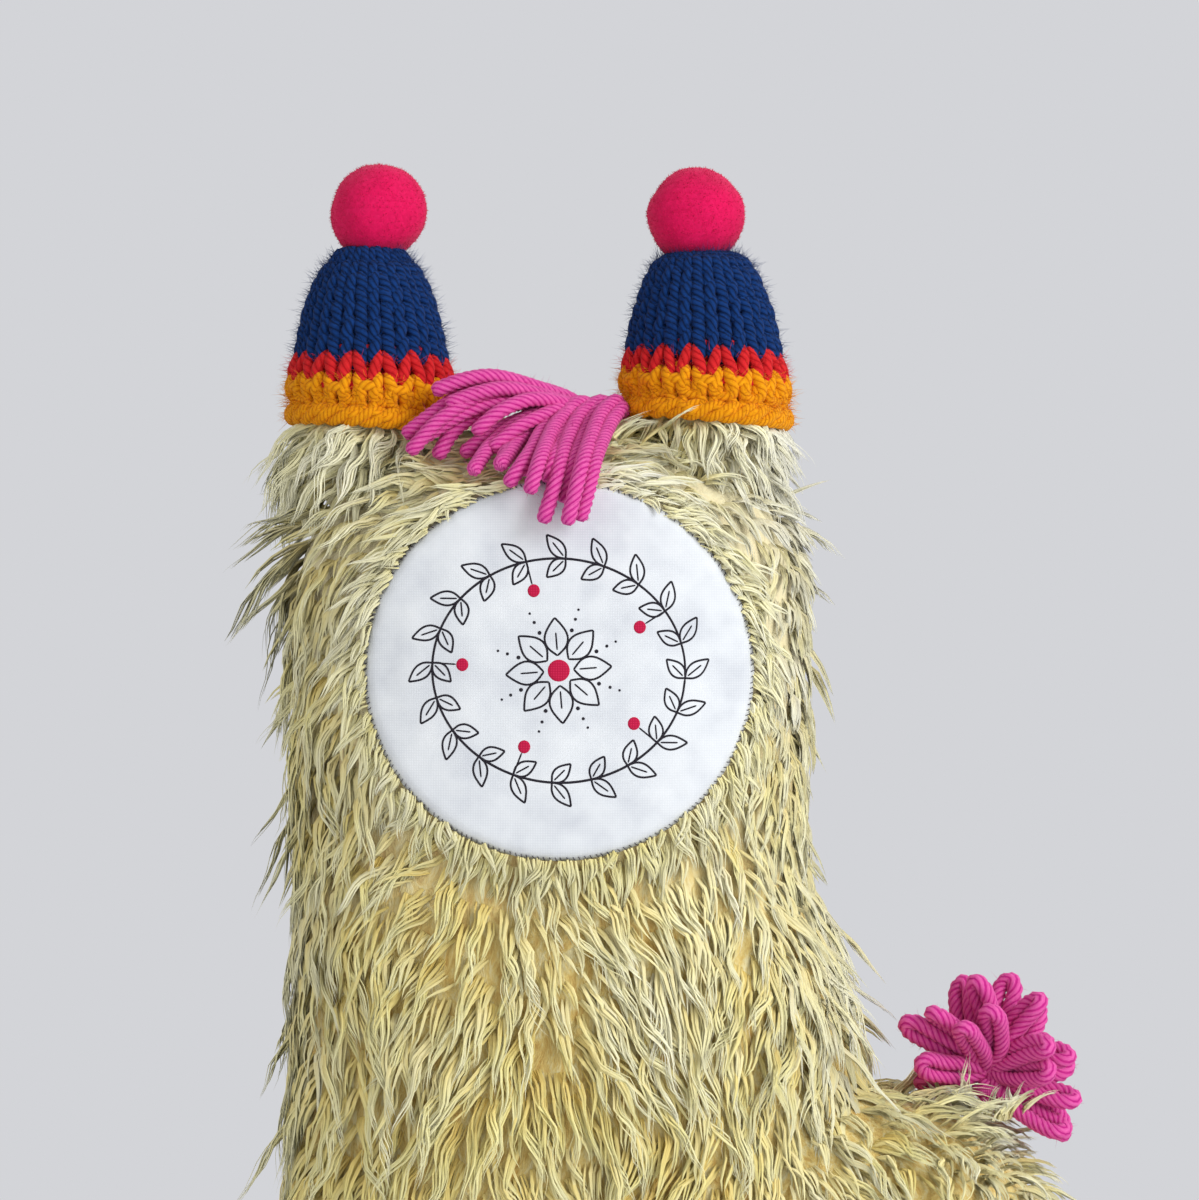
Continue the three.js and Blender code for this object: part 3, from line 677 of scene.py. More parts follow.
def plied_yarn(points, radius, up, seed, cut_end=True):
    """A tube with a lobe for each ply that twists along the route, and its fuzz."""
    points = np.asarray(points, float)
    tiles = max(1, round(step_lengths(points).sum() / PLY_PITCH))
    route = smooth_route(points, tiles * PLY_RINGS)
    yarn_routes.append(route[::3])
    taper = np.ones(len(route))
    if cut_end:
        taper[-len(CUT_END):] = CUT_END
    twist = np.arange(len(route)) * 2 * np.pi / PLY_RINGS
    tube = sweep(route[None], radius * taper[None, :, None] * PLY_SECTION, up, len(PLY_SECTION),
                 twist=twist[None], tiles=tiles)
    rng = np.random.default_rng(seed)
    picked = rng.integers(0, len(route), len(route))
    around = unit(np.cross(rng.normal(0, 1, (len(picked), 3)), np.gradient(route, axis=0)[picked]))
    return [tube, fuzz(route[picked] + around * radius * 0.9, around, *YARN_HAIR, seed + 1)]


# %% [markdown]
# Each forelock strand is written as the places that it passes, as seen from the front. It starts in
# the knot and comes forward until it clears the fur and the face, in three layers. The last few lie
# under the others and fill the gaps.

# %% Forelock
YARN_RADIUS = 1.95 * MM
LAYER_RISE = 2.7 * MM
FORELOCK_ROOT = np.array(joints["forelock_lift"]["pos_m"])
TAIL_ROOT = np.array(joints["tail_swing"]["pos_m"])
yarn_routes = []
# Sideways and up from the knot, in millimetres, for places along each strand
FORELOCK_STRANDS = [
    [(-2, -1), (-8.2, 1.6), (-23.3, 6), (-32, 5.4), (-40, 2.5)],
    [(-2, -2), (-9, 0.6), (-20.8, 3.2), (-29, 2), (-36.5, -1)],
    [(-2, -2.5), (-8, 0), (-16, 0.6), (-23.5, -2.6), (-29.8, -8)],
    [(-2, -1.5), (-9, 2.2), (-20, 4.4), (-31, 2.6), (-38.5, -2), (-47, -8.5)],
    [(-2, -2.5), (-12, 1), (-24, 0), (-34, -3.6), (-42.3, -9)],
    [(-2, -2), (-14, 2.6), (-27, 2), (-38, -4.6), (-45.6, -12.8)],
    [(-2, -3), (-12, 0), (-24, -1), (-33.8, -6), (-39, -13.8)],
    [(-2, -3), (-9, -1), (-18, -4.5), (-25, -10), (-29.8, -17.5)],
    [(-2, -2), (-7, -0.6), (-13, -3.2), (-19.5, -6.8), (-25.5, -12)],
    [(-1, -2), (-6.6, -0.4), (-12.3, -2.8), (-18.3, -9), (-23.3, -16.2)],
    [(-1, -3), (-6.8, -1.6), (-12.3, -5.8), (-16, -13), (-21.3, -21)],
    [(0, -2), (-4.6, -1), (-9.6, -5), (-13, -13), (-16, -23)],
    [(1, -2), (-3.6, 0.2), (-7.6, -2.8), (-8.6, -9.5), (-8.8, -18)],
    [(3, -1.5), (1, 0.6), (-4, -3), (-7.6, -11.2), (-10, -21), (-12.8, -30)],
    [(5.5, -1.5), (5, 0.8), (1, -3), (-2.6, -13), (-5, -22.4), (-7, -30.5)],
    [(4, -2), (2, 0.6), (-1.6, -5), (-5, -14.5), (-8, -25)],
    [(6.5, -2), (6.6, -0.6), (3.4, -5), (0.2, -13), (-1.6, -20.8), (-4, -29.5)],
    [(-2, -4), (-10, -2.6), (-18, -7), (-22.6, -14)],
    [(-2, -5), (-14, -3), (-25, -7.4), (-32.6, -13)],
    [(0, -4), (-5, -5), (-9.4, -12), (-12, -20)],
    [(4, -4), (1, -5), (-3, -13), (-4.4, -22)],
    [(-2, -4), (-8, -4), (-14, -11), (-18, -18)],
]
FIRST_UNDER_STRAND = 17
FORELOCK_START, FORELOCK_ARCH = 4 * MM, 21 * MM  # in front of the knot, and forward from there
FORELOCK_CLEARANCE = 2.6 * MM  # from the skin to the middle of the lowest yarn
front_of_fur = surface_of(body_backing, cad_nodes["face_patch"])
share = np.linspace(0, 1, 16)
arch = np.sin(share * np.pi / 2) ** 0.8
parts = []
for number, strand in enumerate(FORELOCK_STRANDS):
    flat = smooth_route(np.array([(across, 0, up) for across, up in strand]) * MM, len(share) - 1)
    layer = -1 if number >= FIRST_UNDER_STRAND else number % 3
    x, _, z = (FORELOCK_ROOT + flat).T
    skin = np.min([depths_at(front_of_fur, x, z - room * YARN_RADIUS, -5 * MM) for room in (0, 1, 3)], 0)
    clear = (FORELOCK_CLEARANCE + max(0, layer) * LAYER_RISE) * np.minimum(1, 4 * share)
    forward = np.maximum(FORELOCK_START + (FORELOCK_ARCH + layer * LAYER_RISE) * arch, clear - skin)
    for _ in range(6):
        forward[1:-1] = (forward[:-2] + 2 * forward[1:-1] + forward[2:]) / 4
    points = FORELOCK_ROOT * [1, 0, 1] + flat + np.outer(forward, FORWARD)
    radius = YARN_RADIUS * (1 - 0.03 * (number % 3))
    parts += plied_yarn(points, radius, np.array([0, -1.0, 0.3]), seed=81 + number)
tube_piece("forelock_strands", "forelock", parts, pink_yarn, "pink_yarn", "forelock_yarn")

# %% [markdown]
# The tail's loops are written as their direction in degrees, their length, their lean to the side
# and how far the loop is turned edge on, in degrees. Each goes out from the knot in a curve and
# comes back to it. A thinner strand of the same yarn is wound round the stem.

# %% Tail
TAIL_RISE = 10 * MM  # from the tail's root to its knot
TAIL_LOOPS = [
    (150, 24, -3, 40), (130, 21, -8, 75), (112, 22.5, 4, 35), (94, 23, -6, 50), (76, 23, 5, 30),
    (60, 22, -7, 60), (44, 20, 4, 45), (18, 20, -6, 50), (0, 20.5, 5, 30), (-20, 22, -6, 60),
    (-34, 25, 2, 35), (-44, 23, -8, 50), (176, 17.5, -8, 25), (192, 17, 4, 60), (104, 18, 12, 60),
    (62, 18, 13, 40), (140, 17, 11, 50), (20, 17, 13, 60), (-10, 16, 11, 50), (86, 16, -13, 40),
    (34, 15.5, -14, 50), (122, 14, -14, 50), (2, 14, -13, 40),
]
LOOP_BEND = math.radians(22)  # the most that a loop curves to one side
LEG_APART = 2.0  # from the loop's middle line to each of its legs, in millimetres
OUT_AND_BACK = [(0.35, 1), (0.65, 1), (0.9, 1), (1, 0), (0.9, -1), (0.65, -1), (0.35, -1)]
STEM_YARN_RADIUS = 1.9 * MM
GOLDEN_ANGLE = 2.4  # turns this far apart never line up
knot = TAIL_ROOT + [0, 0, TAIL_RISE]
parts = []
for number, (direction, size, lean, edge_on) in enumerate(TAIL_LOOPS):
    points, turned = [knot], math.radians(edge_on)
    for share, side in OUT_AND_BACK:
        way = math.radians(direction) + LOOP_BEND * math.sin(number * GOLDEN_ANGLE) * (share - 0.7)
        wide = side * LEG_APART * min(1, share / 0.35)
        along = np.array([math.cos(way), 0, math.sin(way)])
        apart = np.array([-along[2] * math.cos(turned), math.sin(turned), along[0] * math.cos(turned)])
        aside = np.array([0, lean * share ** 1.2, 0])
        points.append(knot + (along * size * share + apart * wide + aside) * MM)
    points.append(knot)
    parts += plied_yarn(points, YARN_RADIUS, np.array([0.1, 1.0, 0.1]), seed=101 + number, cut_end=False)
for number, turn in enumerate(turns(3)):
    shift = np.array([math.cos(turn), math.sin(turn), 0]) * 1.5
    stem = [TAIL_ROOT + (shift - z * DOWN) * MM for z in (0, 2, 4, 6, 8)]
    parts += plied_yarn(stem, STEM_YARN_RADIUS, -FORWARD, seed=131 + number)
tube_piece("tail_loops", "tail", parts, pink_yarn, "pink_yarn", "tail_yarn")

lengths = [round(float(step_lengths(route).sum() / MM), 1) for route in yarn_routes]
print("forelock strands in mm:", lengths[:len(FORELOCK_STRANDS)])
print("tail loops in mm:", lengths[len(FORELOCK_STRANDS):-3])
yarn_points = np.concatenate(yarn_routes)
yarn_places = KDTree(len(yarn_points))
for number, place in enumerate(yarn_points):
    yarn_places.insert(place, number)
yarn_places.balance()

# %% Tail tie
TIE_TURNS, TIE_STEPS = 4, 24  # and the steps in each turn
STEM_RADIUS, TIE_RADIUS = 3.7 * MM, 0.55 * MM
tie_yarn = yarn_material("plied_acrylic_pink_thin", *PINK, 2, 6)
wind = np.linspace(0, TIE_TURNS * 2 * np.pi, TIE_TURNS * TIE_STEPS + 1)
tie_path = np.stack([STEM_RADIUS * np.cos(wind), STEM_RADIUS * np.sin(wind),
                     (wind / wind[-1] - 0.5) * 2 * MM + 0.3 * MM * np.sin(wind * 0.37)], -1)
tie = sweep((tie_path + middle_and_half("tail_tie")[0])[None], TIE_RADIUS, -DOWN, 8, tiles=TIE_TURNS * 4)
tube_piece("tail_tie_yarn", "tail", [tie], tie_yarn, "pink_yarn", "tail_tie")

# %% [markdown]
# Locks grow from points spread over the backing, thinned so that none crowd. Every root carries a
# lower layer of a few short, broad strands, and about half of them also carry a long lock, with
# slimmer strands that give it body and a few fine fibres for the silky edge. All strands of a lock
# follow one guide, which leaves the backing steeply, leans over along the comb direction, droops,
# and sways from side to side.

# %% Root points
def root_points(piece, pitch, seed):
    """Points and normals over a mesh, about a pitch apart."""
    rng = np.random.default_rng(seed)
    mesh = piece.data
    mesh.calc_loop_triangles()
    corners = read(mesh.loop_triangles, "vertices", kind=np.int32)
    places, normals = read(mesh.vertices, "co").astype(float), read(mesh.vertices, "normal").astype(float)
    a, b, c = (places[corners[:, i]] for i in range(3))
    areas = np.linalg.norm(np.cross(b - a, c - a), axis=1) / 2
    tries = int(areas.sum() / pitch ** 2 * 5)
    picked = rng.choice(len(areas), tries, p=areas / areas.sum())
    u, v = rng.random(tries), rng.random(tries)
    flip = u + v > 1
    u[flip], v[flip] = 1 - u[flip], 1 - v[flip]
    weights = np.stack([1 - u - v, u, v], -1)
    found = np.einsum("ij,ijk->ik", weights, places[corners[picked]])
    facing = unit(np.einsum("ij,ijk->ik", weights, normals[corners[picked]]))
    keep, cells = [], {}
    steps = [(x, y, z) for x in (-1, 0, 1) for y in (-1, 0, 1) for z in (-1, 0, 1)]
    for i, cell in enumerate(map(tuple, np.floor(found / pitch).astype(int))):
        if cell in cells:
            continue
        around = [cells.get((cell[0] + x, cell[1] + y, cell[2] + z)) for x, y, z in steps]
        if all(j is None or np.sum((found[j] - found[i]) ** 2) > (0.8 * pitch) ** 2 for j in around):
            cells[cell] = i
            keep.append(i)
    return found[keep], facing[keep]


# %% Locks
CORE_RADIUS, FIBRE_RADIUS = 0.42 * MM, 0.17 * MM
STRAY_SHARE = 0.08  # of the locks, which stand off the others


def flattened(ways, normals):
    """Directions turned down onto the surface."""
    return unit(ways - normals * np.sum(ways * normals, -1, keepdims=True))


def grow_locks(roots, normals, comb, length, columns, seed, lean_start=56, loft=0.0, cores=6, fibres=2,
               points=10, curl=1.0, droop=0.45, spread=2.1, chart=(0.01, 0.99), thickness=1.0, soft=0.6):
    """The cores and the fibres of one lock at each root. Loft from 0 to 1 makes it stand up."""
    rng = np.random.default_rng(seed)
    count = len(roots)
    steps = np.append(0, np.linspace(1.5 / points, 1, points - 1))
    comb = flattened(comb, normals)
    aside = np.cross(normals, comb)
    stray = rng.random(count) < STRAY_SHARE
    lean_end = np.where(stray, rng.uniform(45, 75, count), rng.uniform(84, 102, count))
    lean_end = (lean_end - 45 * np.broadcast_to(loft, count))[:, None]
    lean_start = np.broadcast_to(lean_start, count)[:, None]
    lean = np.radians(lean_start + (lean_end - lean_start) * steps ** 0.6)
    sway = rng.uniform(0.1, 0.35, (count, 1)) * np.sin(
        steps * rng.uniform(2, 4.5, (count, 1)) + rng.uniform(0, 2 * np.pi, (count, 1)))
    heading = (normals[:, None] * np.cos(lean)[..., None] + comb[:, None] * np.sin(lean)[..., None]
               + aside[:, None] * sway[..., None])
    heading[..., 2] -= np.broadcast_to(droop, count)[:, None] * steps ** 2
    heading = unit(heading)
    reach = length * rng.uniform(0.7, 1.2, count) * np.where(stray, 1.15, 1)
    step = reach[:, None, None] * np.diff(steps)[:, None]
    moved = np.cumsum((heading[:, 1:] + heading[:, :-1]) / 2 * step, 1)
    guide = np.concatenate([np.zeros((count, 1, 3)), moved], 1)
    wave = rng.uniform(13, 19, count) * MM
    size = rng.uniform(0.5, 1.2, count) * MM * curl
    start = np.pi * wander(roots, 9 * MM, (0, 4.4, 0)) + rng.normal(0, 0.7, count)
    broad = (0.5 + 0.5 * np.minimum(1, steps * 3)) * (1 - steps ** 1.6) + 0.05
    fine = (1 - steps ** 2) + 0.1
    drawn = 0.12 + 0.88 * (1 - steps) ** 0.6
    started = np.minimum(1, 0.25 + steps * 2.5)
    sets = []
    for number, section, most_out, longer in ((cores, CORE_RADIUS * thickness * broad, 0.6, 1),
                                              (fibres, FIBRE_RADIUS * thickness * fine, 1, 1.1)):
        if number == 0:
            continue
        shape = (count, number)
        phase = (start[:, None] + rng.normal(0, 0.2, shape))[..., None] + (
            2 * np.pi * reach / wave)[:, None, None] * steps
        swing = (size[:, None] * rng.uniform(0.85, 1.15, shape))[..., None] * started
        out = rng.uniform(0.15, most_out, shape) ** 0.7 * spread * MM
        angle = rng.uniform(0, 2 * np.pi, shape)
        sideways = (out * np.cos(angle))[..., None] * drawn + swing * np.sin(phase)
        rising = (out * np.sin(angle) * 0.6)[..., None] * drawn * np.minimum(1, steps * 4)
        rising = rising + swing * 0.55 * np.cos(phase)
        cut = rng.uniform(0.75, 1, shape)[..., None, None] * longer
        paths = (roots[:, None, None] + guide[:, None] * cut
                 + aside[:, None, None] * sideways[..., None] + normals[:, None, None] * rising[..., None])
        radii = np.repeat(section[:, None], PILE_SIDES, 1) * rng.uniform(0.6, 1.3, (*shape, 1, 1))
        strand_columns = np.clip(columns[:, None] + rng.integers(-2, 3, shape), 0, TINTS - 1)
        sets.append({
            "paths": paths.reshape(-1, points, 3), "radii": radii.reshape(-1, points, PILE_SIDES),
            "ups": np.repeat(normals, number, 0), "columns": strand_columns.reshape(-1),
            "chart": chart, "soft": soft})
    return sets


# %% [markdown]
# The comb direction follows the photograph: down the neck, outwards round the face and over the
# top of the head, and towards the rump along the trunk. A slow noise turns it from place to place,
# because handled pile lies in swirls. Roots under the face and in the sockets are left out, and so
# is any strand that would pass into a cap or a yarn, or over the face.

# %% Body fur
LOCK_PITCH = 4.5 * MM
LOCK_LENGTH = 27 * MM
WISP_SHARE = 0.56  # of the roots that carry a long lock
NAPE_X = 40 * MM  # the trunk reaches to +X from here
FACE_BACK = -12 * MM  # the face lies in front of this
FORELOCK_LEVEL = 270 * MM  # the forelock is above this, and the tail below it
FUR_TOP = 323 * MM  # no strand stands above this between the ears
CAP_LOWER_EDGE = 10 * MM  # over the ear's root
EAR_BARE, HIP_BARE, TAIL_BARE, KNOT_BARE = 16 * MM, 19 * MM, 3 * MM, 4 * MM  # radii without locks
EAR_ROOTS = {side: np.array(joints[side + "_ear_flop"]["pos_m"]) for side in ("left", "right")}
EAR_AXES = {side: np.array(joints[side + "_ear_flop"]["axis"]) for side in EAR_ROOTS}
EAR_UPS = {side: EAR_AXES[side][[2, 1, 0]] * [-1, 1, 1] for side in EAR_ROOTS}
HIPS = [np.array(joints[leg + "_leg_swing"]["pos_m"]) for leg in LEG_NAMES]


def in_a_cap(places, room=21.5 * MM, above=1.5 * MM):
    """True where a place lies inside a cap."""
    inside = np.zeros(places.shape[:-1], bool)
    for side, root in EAR_ROOTS.items():
        height = (places - root) @ EAR_UPS[side]
        away = np.linalg.norm(places - root - height[..., None] * EAR_UPS[side], axis=-1)
        inside |= (height > CAP_LOWER_EDGE + above) & (away < room)
    return inside


def kept_in_box(sets):
    """The strands, drawn in towards their roots where they would stand out of the box too far."""
    for s in sets:
        roots = s["paths"][:, :1]
        room = np.where(s["paths"] > roots, CAD_HIGH + PROUD - roots, roots - CAD_LOW + PROUD)
        share = np.min(room / np.maximum(np.abs(s["paths"] - roots), 1e-6), (1, 2))
        s["paths"] = roots + (s["paths"] - roots) * np.clip(share, 0, 1)[:, None, None]
    return sets


def over_the_face(places, reach=0.95):
    return (face_share(places)[0] < reach) & (places[..., 1] < FACE_BACK)


def past_the_face(places):
    """The comb direction next to the face: away from it and down along its edge."""
    away = face_share(places)[1]
    side = np.sign(places[:, :1] - FACE_CENTRE[0])
    along_edge = side * np.stack([away[:, 2], away[:, 1], -away[:, 0]], -1) * np.clip(1 + away[:, 2:], 0, 1)
    return 0.6 * away + 0.8 * along_edge + 0.25 * DOWN


def near_yarn(places, under_forelock=4.2 * MM, beside=2.0 * MM):
    """True where a place lies inside or close to a strand of the forelock or the tail."""
    under = (places[..., 2] > FORELOCK_LEVEL) & (places[..., 0] < FORELOCK_ROOT[0] + 4 * MM)
    room = np.where(under, under_forelock, beside).ravel()
    found = [yarn_places.find(Vector(place))[2] for place in places.reshape(-1, 3)]
    return (np.array(found) < room).reshape(places.shape[:-1])


def trimmed(sets, under_forelock=4.2 * MM):
    """The strands that pass neither into a cap or a yarn nor over the face."""
    kept = []
    for s in kept_in_box(sets):
        clear = ~(in_a_cap(s["paths"]) | over_the_face(s["paths"])).any(1)
        clear &= s["paths"][..., 2].max(1) < FUR_TOP
        high = (s["paths"][:, 0, 2] > FORELOCK_LEVEL) | (s["paths"][:, 0, 0] > NAPE_X)
        clear[high & clear] = ~near_yarn(s["paths"][high & clear, 2:], under_forelock).any(1)
        kept.append(chosen(s, clear))
    return kept


def away_from(places, centre):
    return np.linalg.norm(places - centre, axis=1)


def closeness(centre, radius, fall=1):
    """For each root, 1 within the radius round a place, and less and less beyond it."""
    return np.exp(-np.maximum(away_from(roots, centre) / radius - 1, 0) * fall)


roots, normals = root_points(body_backing, LOCK_PITCH, seed=11)
keep = ~over_the_face(roots, 1.015)
sockets = [(root, EAR_BARE) for root in EAR_ROOTS.values()] + [(hip, HIP_BARE) for hip in HIPS]
for centre, room in [*sockets, (TAIL_ROOT, TAIL_BARE), (FORELOCK_ROOT, KNOT_BARE)]:
    keep &= away_from(roots, centre) > room
roots, normals = roots[keep], normals[keep]

# How near each root is to the places where the pile changes
beyond = np.maximum(face_share(roots)[0] - 1, 0) * FACE_HALF[0]
near_face = np.where(roots[:, 1] < FACE_BACK, np.exp(-beyond / (13 * MM)), 0)
trunk_share = rise(roots[:, 0], NAPE_X, 40 * MM) * rise(-roots[:, 2], -185 * MM, 40 * MM)
rump_end = rise(roots[:, 0], 66 * MM, 24 * MM)
crown = np.clip(normals[:, 2], 0, 1) * (roots[:, 2] > 290 * MM)
brow = rise(roots[:, 2], 285 * MM, 20 * MM) * (roots[:, 1] < 0)
cheek = rise(roots[:, 0], 5 * MM, 15 * MM) * rise(roots[:, 2], 215 * MM, 30 * MM)
on_rump = np.clip(normals[:, 2], 0, 1) * trunk_share
at_tail, at_knot = closeness(TAIL_ROOT, 9 * MM), closeness(FORELOCK_ROOT, 7 * MM)
at_ears = sum(closeness(root, 19 * MM, 2) for root in EAR_ROOTS.values())

comb = DOWN + 0.3 * unit((roots - np.array([-32 * MM, 0, 0])) * LEVEL)
comb = comb * (1 - 0.5 * trunk_share[:, None])
comb[:, 0] += trunk_share * (0.6 - 0.75 * rump_end)
comb = comb * (1 - 0.85 * near_face[:, None]) + past_the_face(roots) * near_face[:, None]
comb = comb + unit((roots - FORELOCK_ROOT) * LEVEL) * crown[:, None]
comb[:, 0] += brow * np.where(roots[:, 0] > FORELOCK_ROOT[0], 0.5, -1.1)
chance = np.random.default_rng(5).normal(0, 0.15, len(roots))
swirl = wander(roots, 38 * MM, (3.1, 0, 0)) * (0.7 + 0.6 * trunk_share) + chance
tangent = flattened(comb, normals)
comb = tangent * np.cos(swirl)[:, None] + np.cross(normals, tangent) * np.sin(swirl)[:, None]

length = LOCK_LENGTH * (1 - 0.5 * near_face) * (1 - 0.25 * crown)
length = length * (1 + 0.15 * wander(roots, 25 * MM, (0, 0, 9.2)))
length = length * (1 + 0.1 * np.clip(at_ears + on_rump, 0, 1))
length = length * (1 - 0.45 * on_rump) * (1 - 0.35 * rump_end * trunk_share)
fluff_length = 0.55 * length * (1 + 0.7 * on_rump)
length = length * (1 - 0.4 * at_tail) * (1 - 0.42 * cheek)
loft = np.clip(1.1 * at_tail + 0.9 * on_rump + 0.5 * at_ears + 0.9 * at_knot, 0, 1)
columns = fur_columns(roots, seed=6)
FLUFF = {"cores": 4, "fibres": 0, "points": 5, "spread": 4, "chart": (0.1, 0.6), "thickness": 1.45,
         "soft": 0.85, "curl": 0.3}
body_locks = trimmed(grow_locks(
    roots, normals, comb, fluff_length, columns, seed=22,
    lean_start=44 - 30 * loft, loft=0.7 * loft, **FLUFF))
lean_start = 56 - 44 * loft + 20 * rump_end * trunk_share
droop, curl = 0.45 + 0.5 * trunk_share, 1 - 0.3 * cheek
long = np.random.default_rng(8).random(len(roots)) < WISP_SHARE * np.where(roots[:, 1] > 12 * MM, 0.7, 1)
body_locks += trimmed(grow_locks(
    roots[long], normals[long], comb[long], length[long], columns[long], seed=21,
    lean_start=lean_start[long], loft=loft[long], droop=droop[long], curl=curl[long]))
print("locks on the body:", len(roots), "of which long:", long.sum())

# %% [markdown]
# Three places need tufts of their own: round the tail's stem and the forelock's knot, so that the
# yarn comes out of the pile, and on the brow under the forelock, where only short fur has room.

# %% Tufts that hide the tail's stem
STEM_TUFTS = 46
turn = np.arange(STEM_TUFTS) * GOLDEN_ANGLE
ways = np.stack([np.cos(turn), np.sin(turn), np.zeros(STEM_TUFTS)], -1)
out = np.random.default_rng(9).uniform(4.8, 10, (STEM_TUFTS, 1)) * MM
tuft_roots = TAIL_ROOT + ways * out + 1.5 * MM * DOWN
tufts = grow_locks(
    tuft_roots, unit(ways * 0.25 - DOWN), ways + [0.3, 0, 0], 13 * MM, fur_columns(tuft_roots, seed=10),
    seed=23, lean_start=4, loft=1, droop=0.1, spread=2.6, chart=(0.2, 0.99))
body_locks += [chosen(s, ~near_yarn(s["paths"][:, 2:], beside=1.5 * MM).any(1)) for s in tufts]

# %% Tufts round the forelock's knot
tuft_roots, tuft_normals = root_points(body_backing, 2.2 * MM, seed=31)
from_knot = tuft_roots - FORELOCK_ROOT
distance = np.linalg.norm(from_knot, axis=1)
keep = (distance > 4.5 * MM) & (distance < 14 * MM) & (from_knot[:, 0] > -2 * MM)
for root in EAR_ROOTS.values():
    keep &= away_from(tuft_roots, root) > 13 * MM
tuft_roots, tuft_normals, from_knot = tuft_roots[keep], tuft_normals[keep], from_knot[keep]
body_locks += trimmed(grow_locks(
    tuft_roots, tuft_normals, from_knot * 40 + [0.4, 0, 0], 12 * MM, fur_columns(tuft_roots, seed=12),
    seed=24, lean_start=20, loft=0.8, droop=0.3, points=8, chart=(0.2, 0.99)))

# %% Short tufts under the forelock
tuft_roots, tuft_normals = root_points(body_backing, 3.5 * MM, seed=33)
from_knot = tuft_roots - FORELOCK_ROOT
keep = (from_knot[:, 1] < 2 * MM) & (from_knot[:, 2] > -26 * MM)
keep &= np.abs(from_knot[:, 0] + 16 * MM) < 34 * MM
keep &= ~over_the_face(tuft_roots, 1.01) & near_yarn(tuft_roots, under_forelock=16 * MM, beside=16 * MM)
tuft_roots, tuft_normals, from_knot = tuft_roots[keep], tuft_normals[keep], from_knot[keep]
tuft_comb = past_the_face(tuft_roots)
tuft_comb[:, 0] += np.where(from_knot[:, 0] > 0, 0.6, -0.6)
tufts = grow_locks(
    tuft_roots, tuft_normals, tuft_comb, 10 * MM, fur_columns(tuft_roots, seed=14), seed=25,
    lean_start=66, cores=5, fibres=1, points=7, curl=0.5, droop=0, spread=2.4, chart=(0.25, 0.99))
body_locks += trimmed(tufts, under_forelock=2.3 * MM)

# %% Body fur in pieces, by height and side
above = np.inf
for name, low in (("head_fur", 215 * MM), ("neck_fur", 140 * MM), ("trunk_fur", -1)):
    for side, sign in (("front", -1), ("back", 1)):
        part = []
        for s in body_locks:
            x, y, z = s["paths"][:, 0].T
            part.append(chosen(s, (z > low) & (z <= above) & (np.sign(y) == sign)))
        fur_pieces(f"{name}_{side}", "body", part)
    above = low

# %% [markdown]
# Round the face the pile is trimmed short and brushed away from the seam. Two rings of short locks
# start just outside the cotton and cover the step down to the backing.

# %% Fur round the face
SEAM_TUFTS = 170
seam_rng = np.random.default_rng(14)
seam_roots, seam_length = [], []
for outside, depth, tuft_length in ((0.1 * MM, 1.3 * MM, 8 * MM), (2.6 * MM, 3.2 * MM, 13 * MM)):
    turn = turns(SEAM_TUFTS) + seam_rng.uniform(0, 2 * np.pi / SEAM_TUFTS, SEAM_TUFTS)
    x, z = on_face((FACE_HALF[0] + outside) * np.cos(turn), (FACE_HALF[2] + outside) * np.sin(turn))
    edge = on_face(FACE_HALF[0] * 0.98 * np.cos(turn), FACE_HALF[2] * 0.98 * np.sin(turn))
    seam_roots.append(np.stack([x, depths_at(patch_surface, *edge, FACE_CENTRE[1]) + depth, z], -1))
    seam_length.append(np.full(SEAM_TUFTS, tuft_length))
seam_roots = np.concatenate(seam_roots)
seam_comb = past_the_face(seam_roots) + seam_rng.normal(0, 0.28, seam_roots.shape)
seam_length = np.concatenate(seam_length) * seam_rng.uniform(0.6, 1.2, len(seam_roots))
fur_pieces("face_edge_fur", "body", trimmed(grow_locks(
    seam_roots, unit(face_share(seam_roots)[1] * 0.5 + FORWARD), seam_comb, seam_length,
    fur_columns(seam_roots, seed=15), seed=16,
    lean_start=40, cores=4, fibres=1, points=6, chart=(0.4, 0.99), curl=0.5)))

# %% [markdown]
# Each ear is a stuffed column, and all but its lowest part is inside the cap. Its pile shows
# between the head and the cap, where it stands out and hangs over. The legs have shorter pile that
# hangs down to the sole, and it stops above the floor.

# %% Ear and leg fur
EAR_FUR = {"left": (-0.8, 22 * MM), "right": (0.1, 16 * MM)}  # how far it is combed to +X, and its length
for number, (side, backing) in enumerate(ear_backings.items()):
    combed, ear_length = EAR_FUR[side]
    roots, normals = root_points(backing, 2.7 * MM, seed=31 + number)
    height = (roots - EAR_ROOTS[side]) @ EAR_UPS[side]
    keep = (height > -4 * MM) & (height < CAP_LOWER_EDGE + 3 * MM)
    roots, normals = roots[keep], normals[keep]
    comb = DOWN + [combed, 0, 0] + np.random.default_rng(33 + number).normal(0, 0.25, roots.shape)
    locks = grow_locks(roots, normals, comb, ear_length, fur_columns(roots, seed=35), seed=37 + number,
                       lean_start=10, loft=0.5, points=9, droop=0.9, chart=(0.3, 0.99), curl=1.2)
    locks += grow_locks(roots, normals, comb, 0.5 * ear_length, fur_columns(roots, seed=36),
                        seed=39 + number, lean_start=20, loft=0.5, **FLUFF)
    locks = [chosen(s, ~in_a_cap(s["paths"][:, 3:], 20 * MM, 3 * MM).any(1)) for s in kept_in_box(locks)]
    fur_pieces(f"{side}_ear_fur", f"{side}_ear", locks)

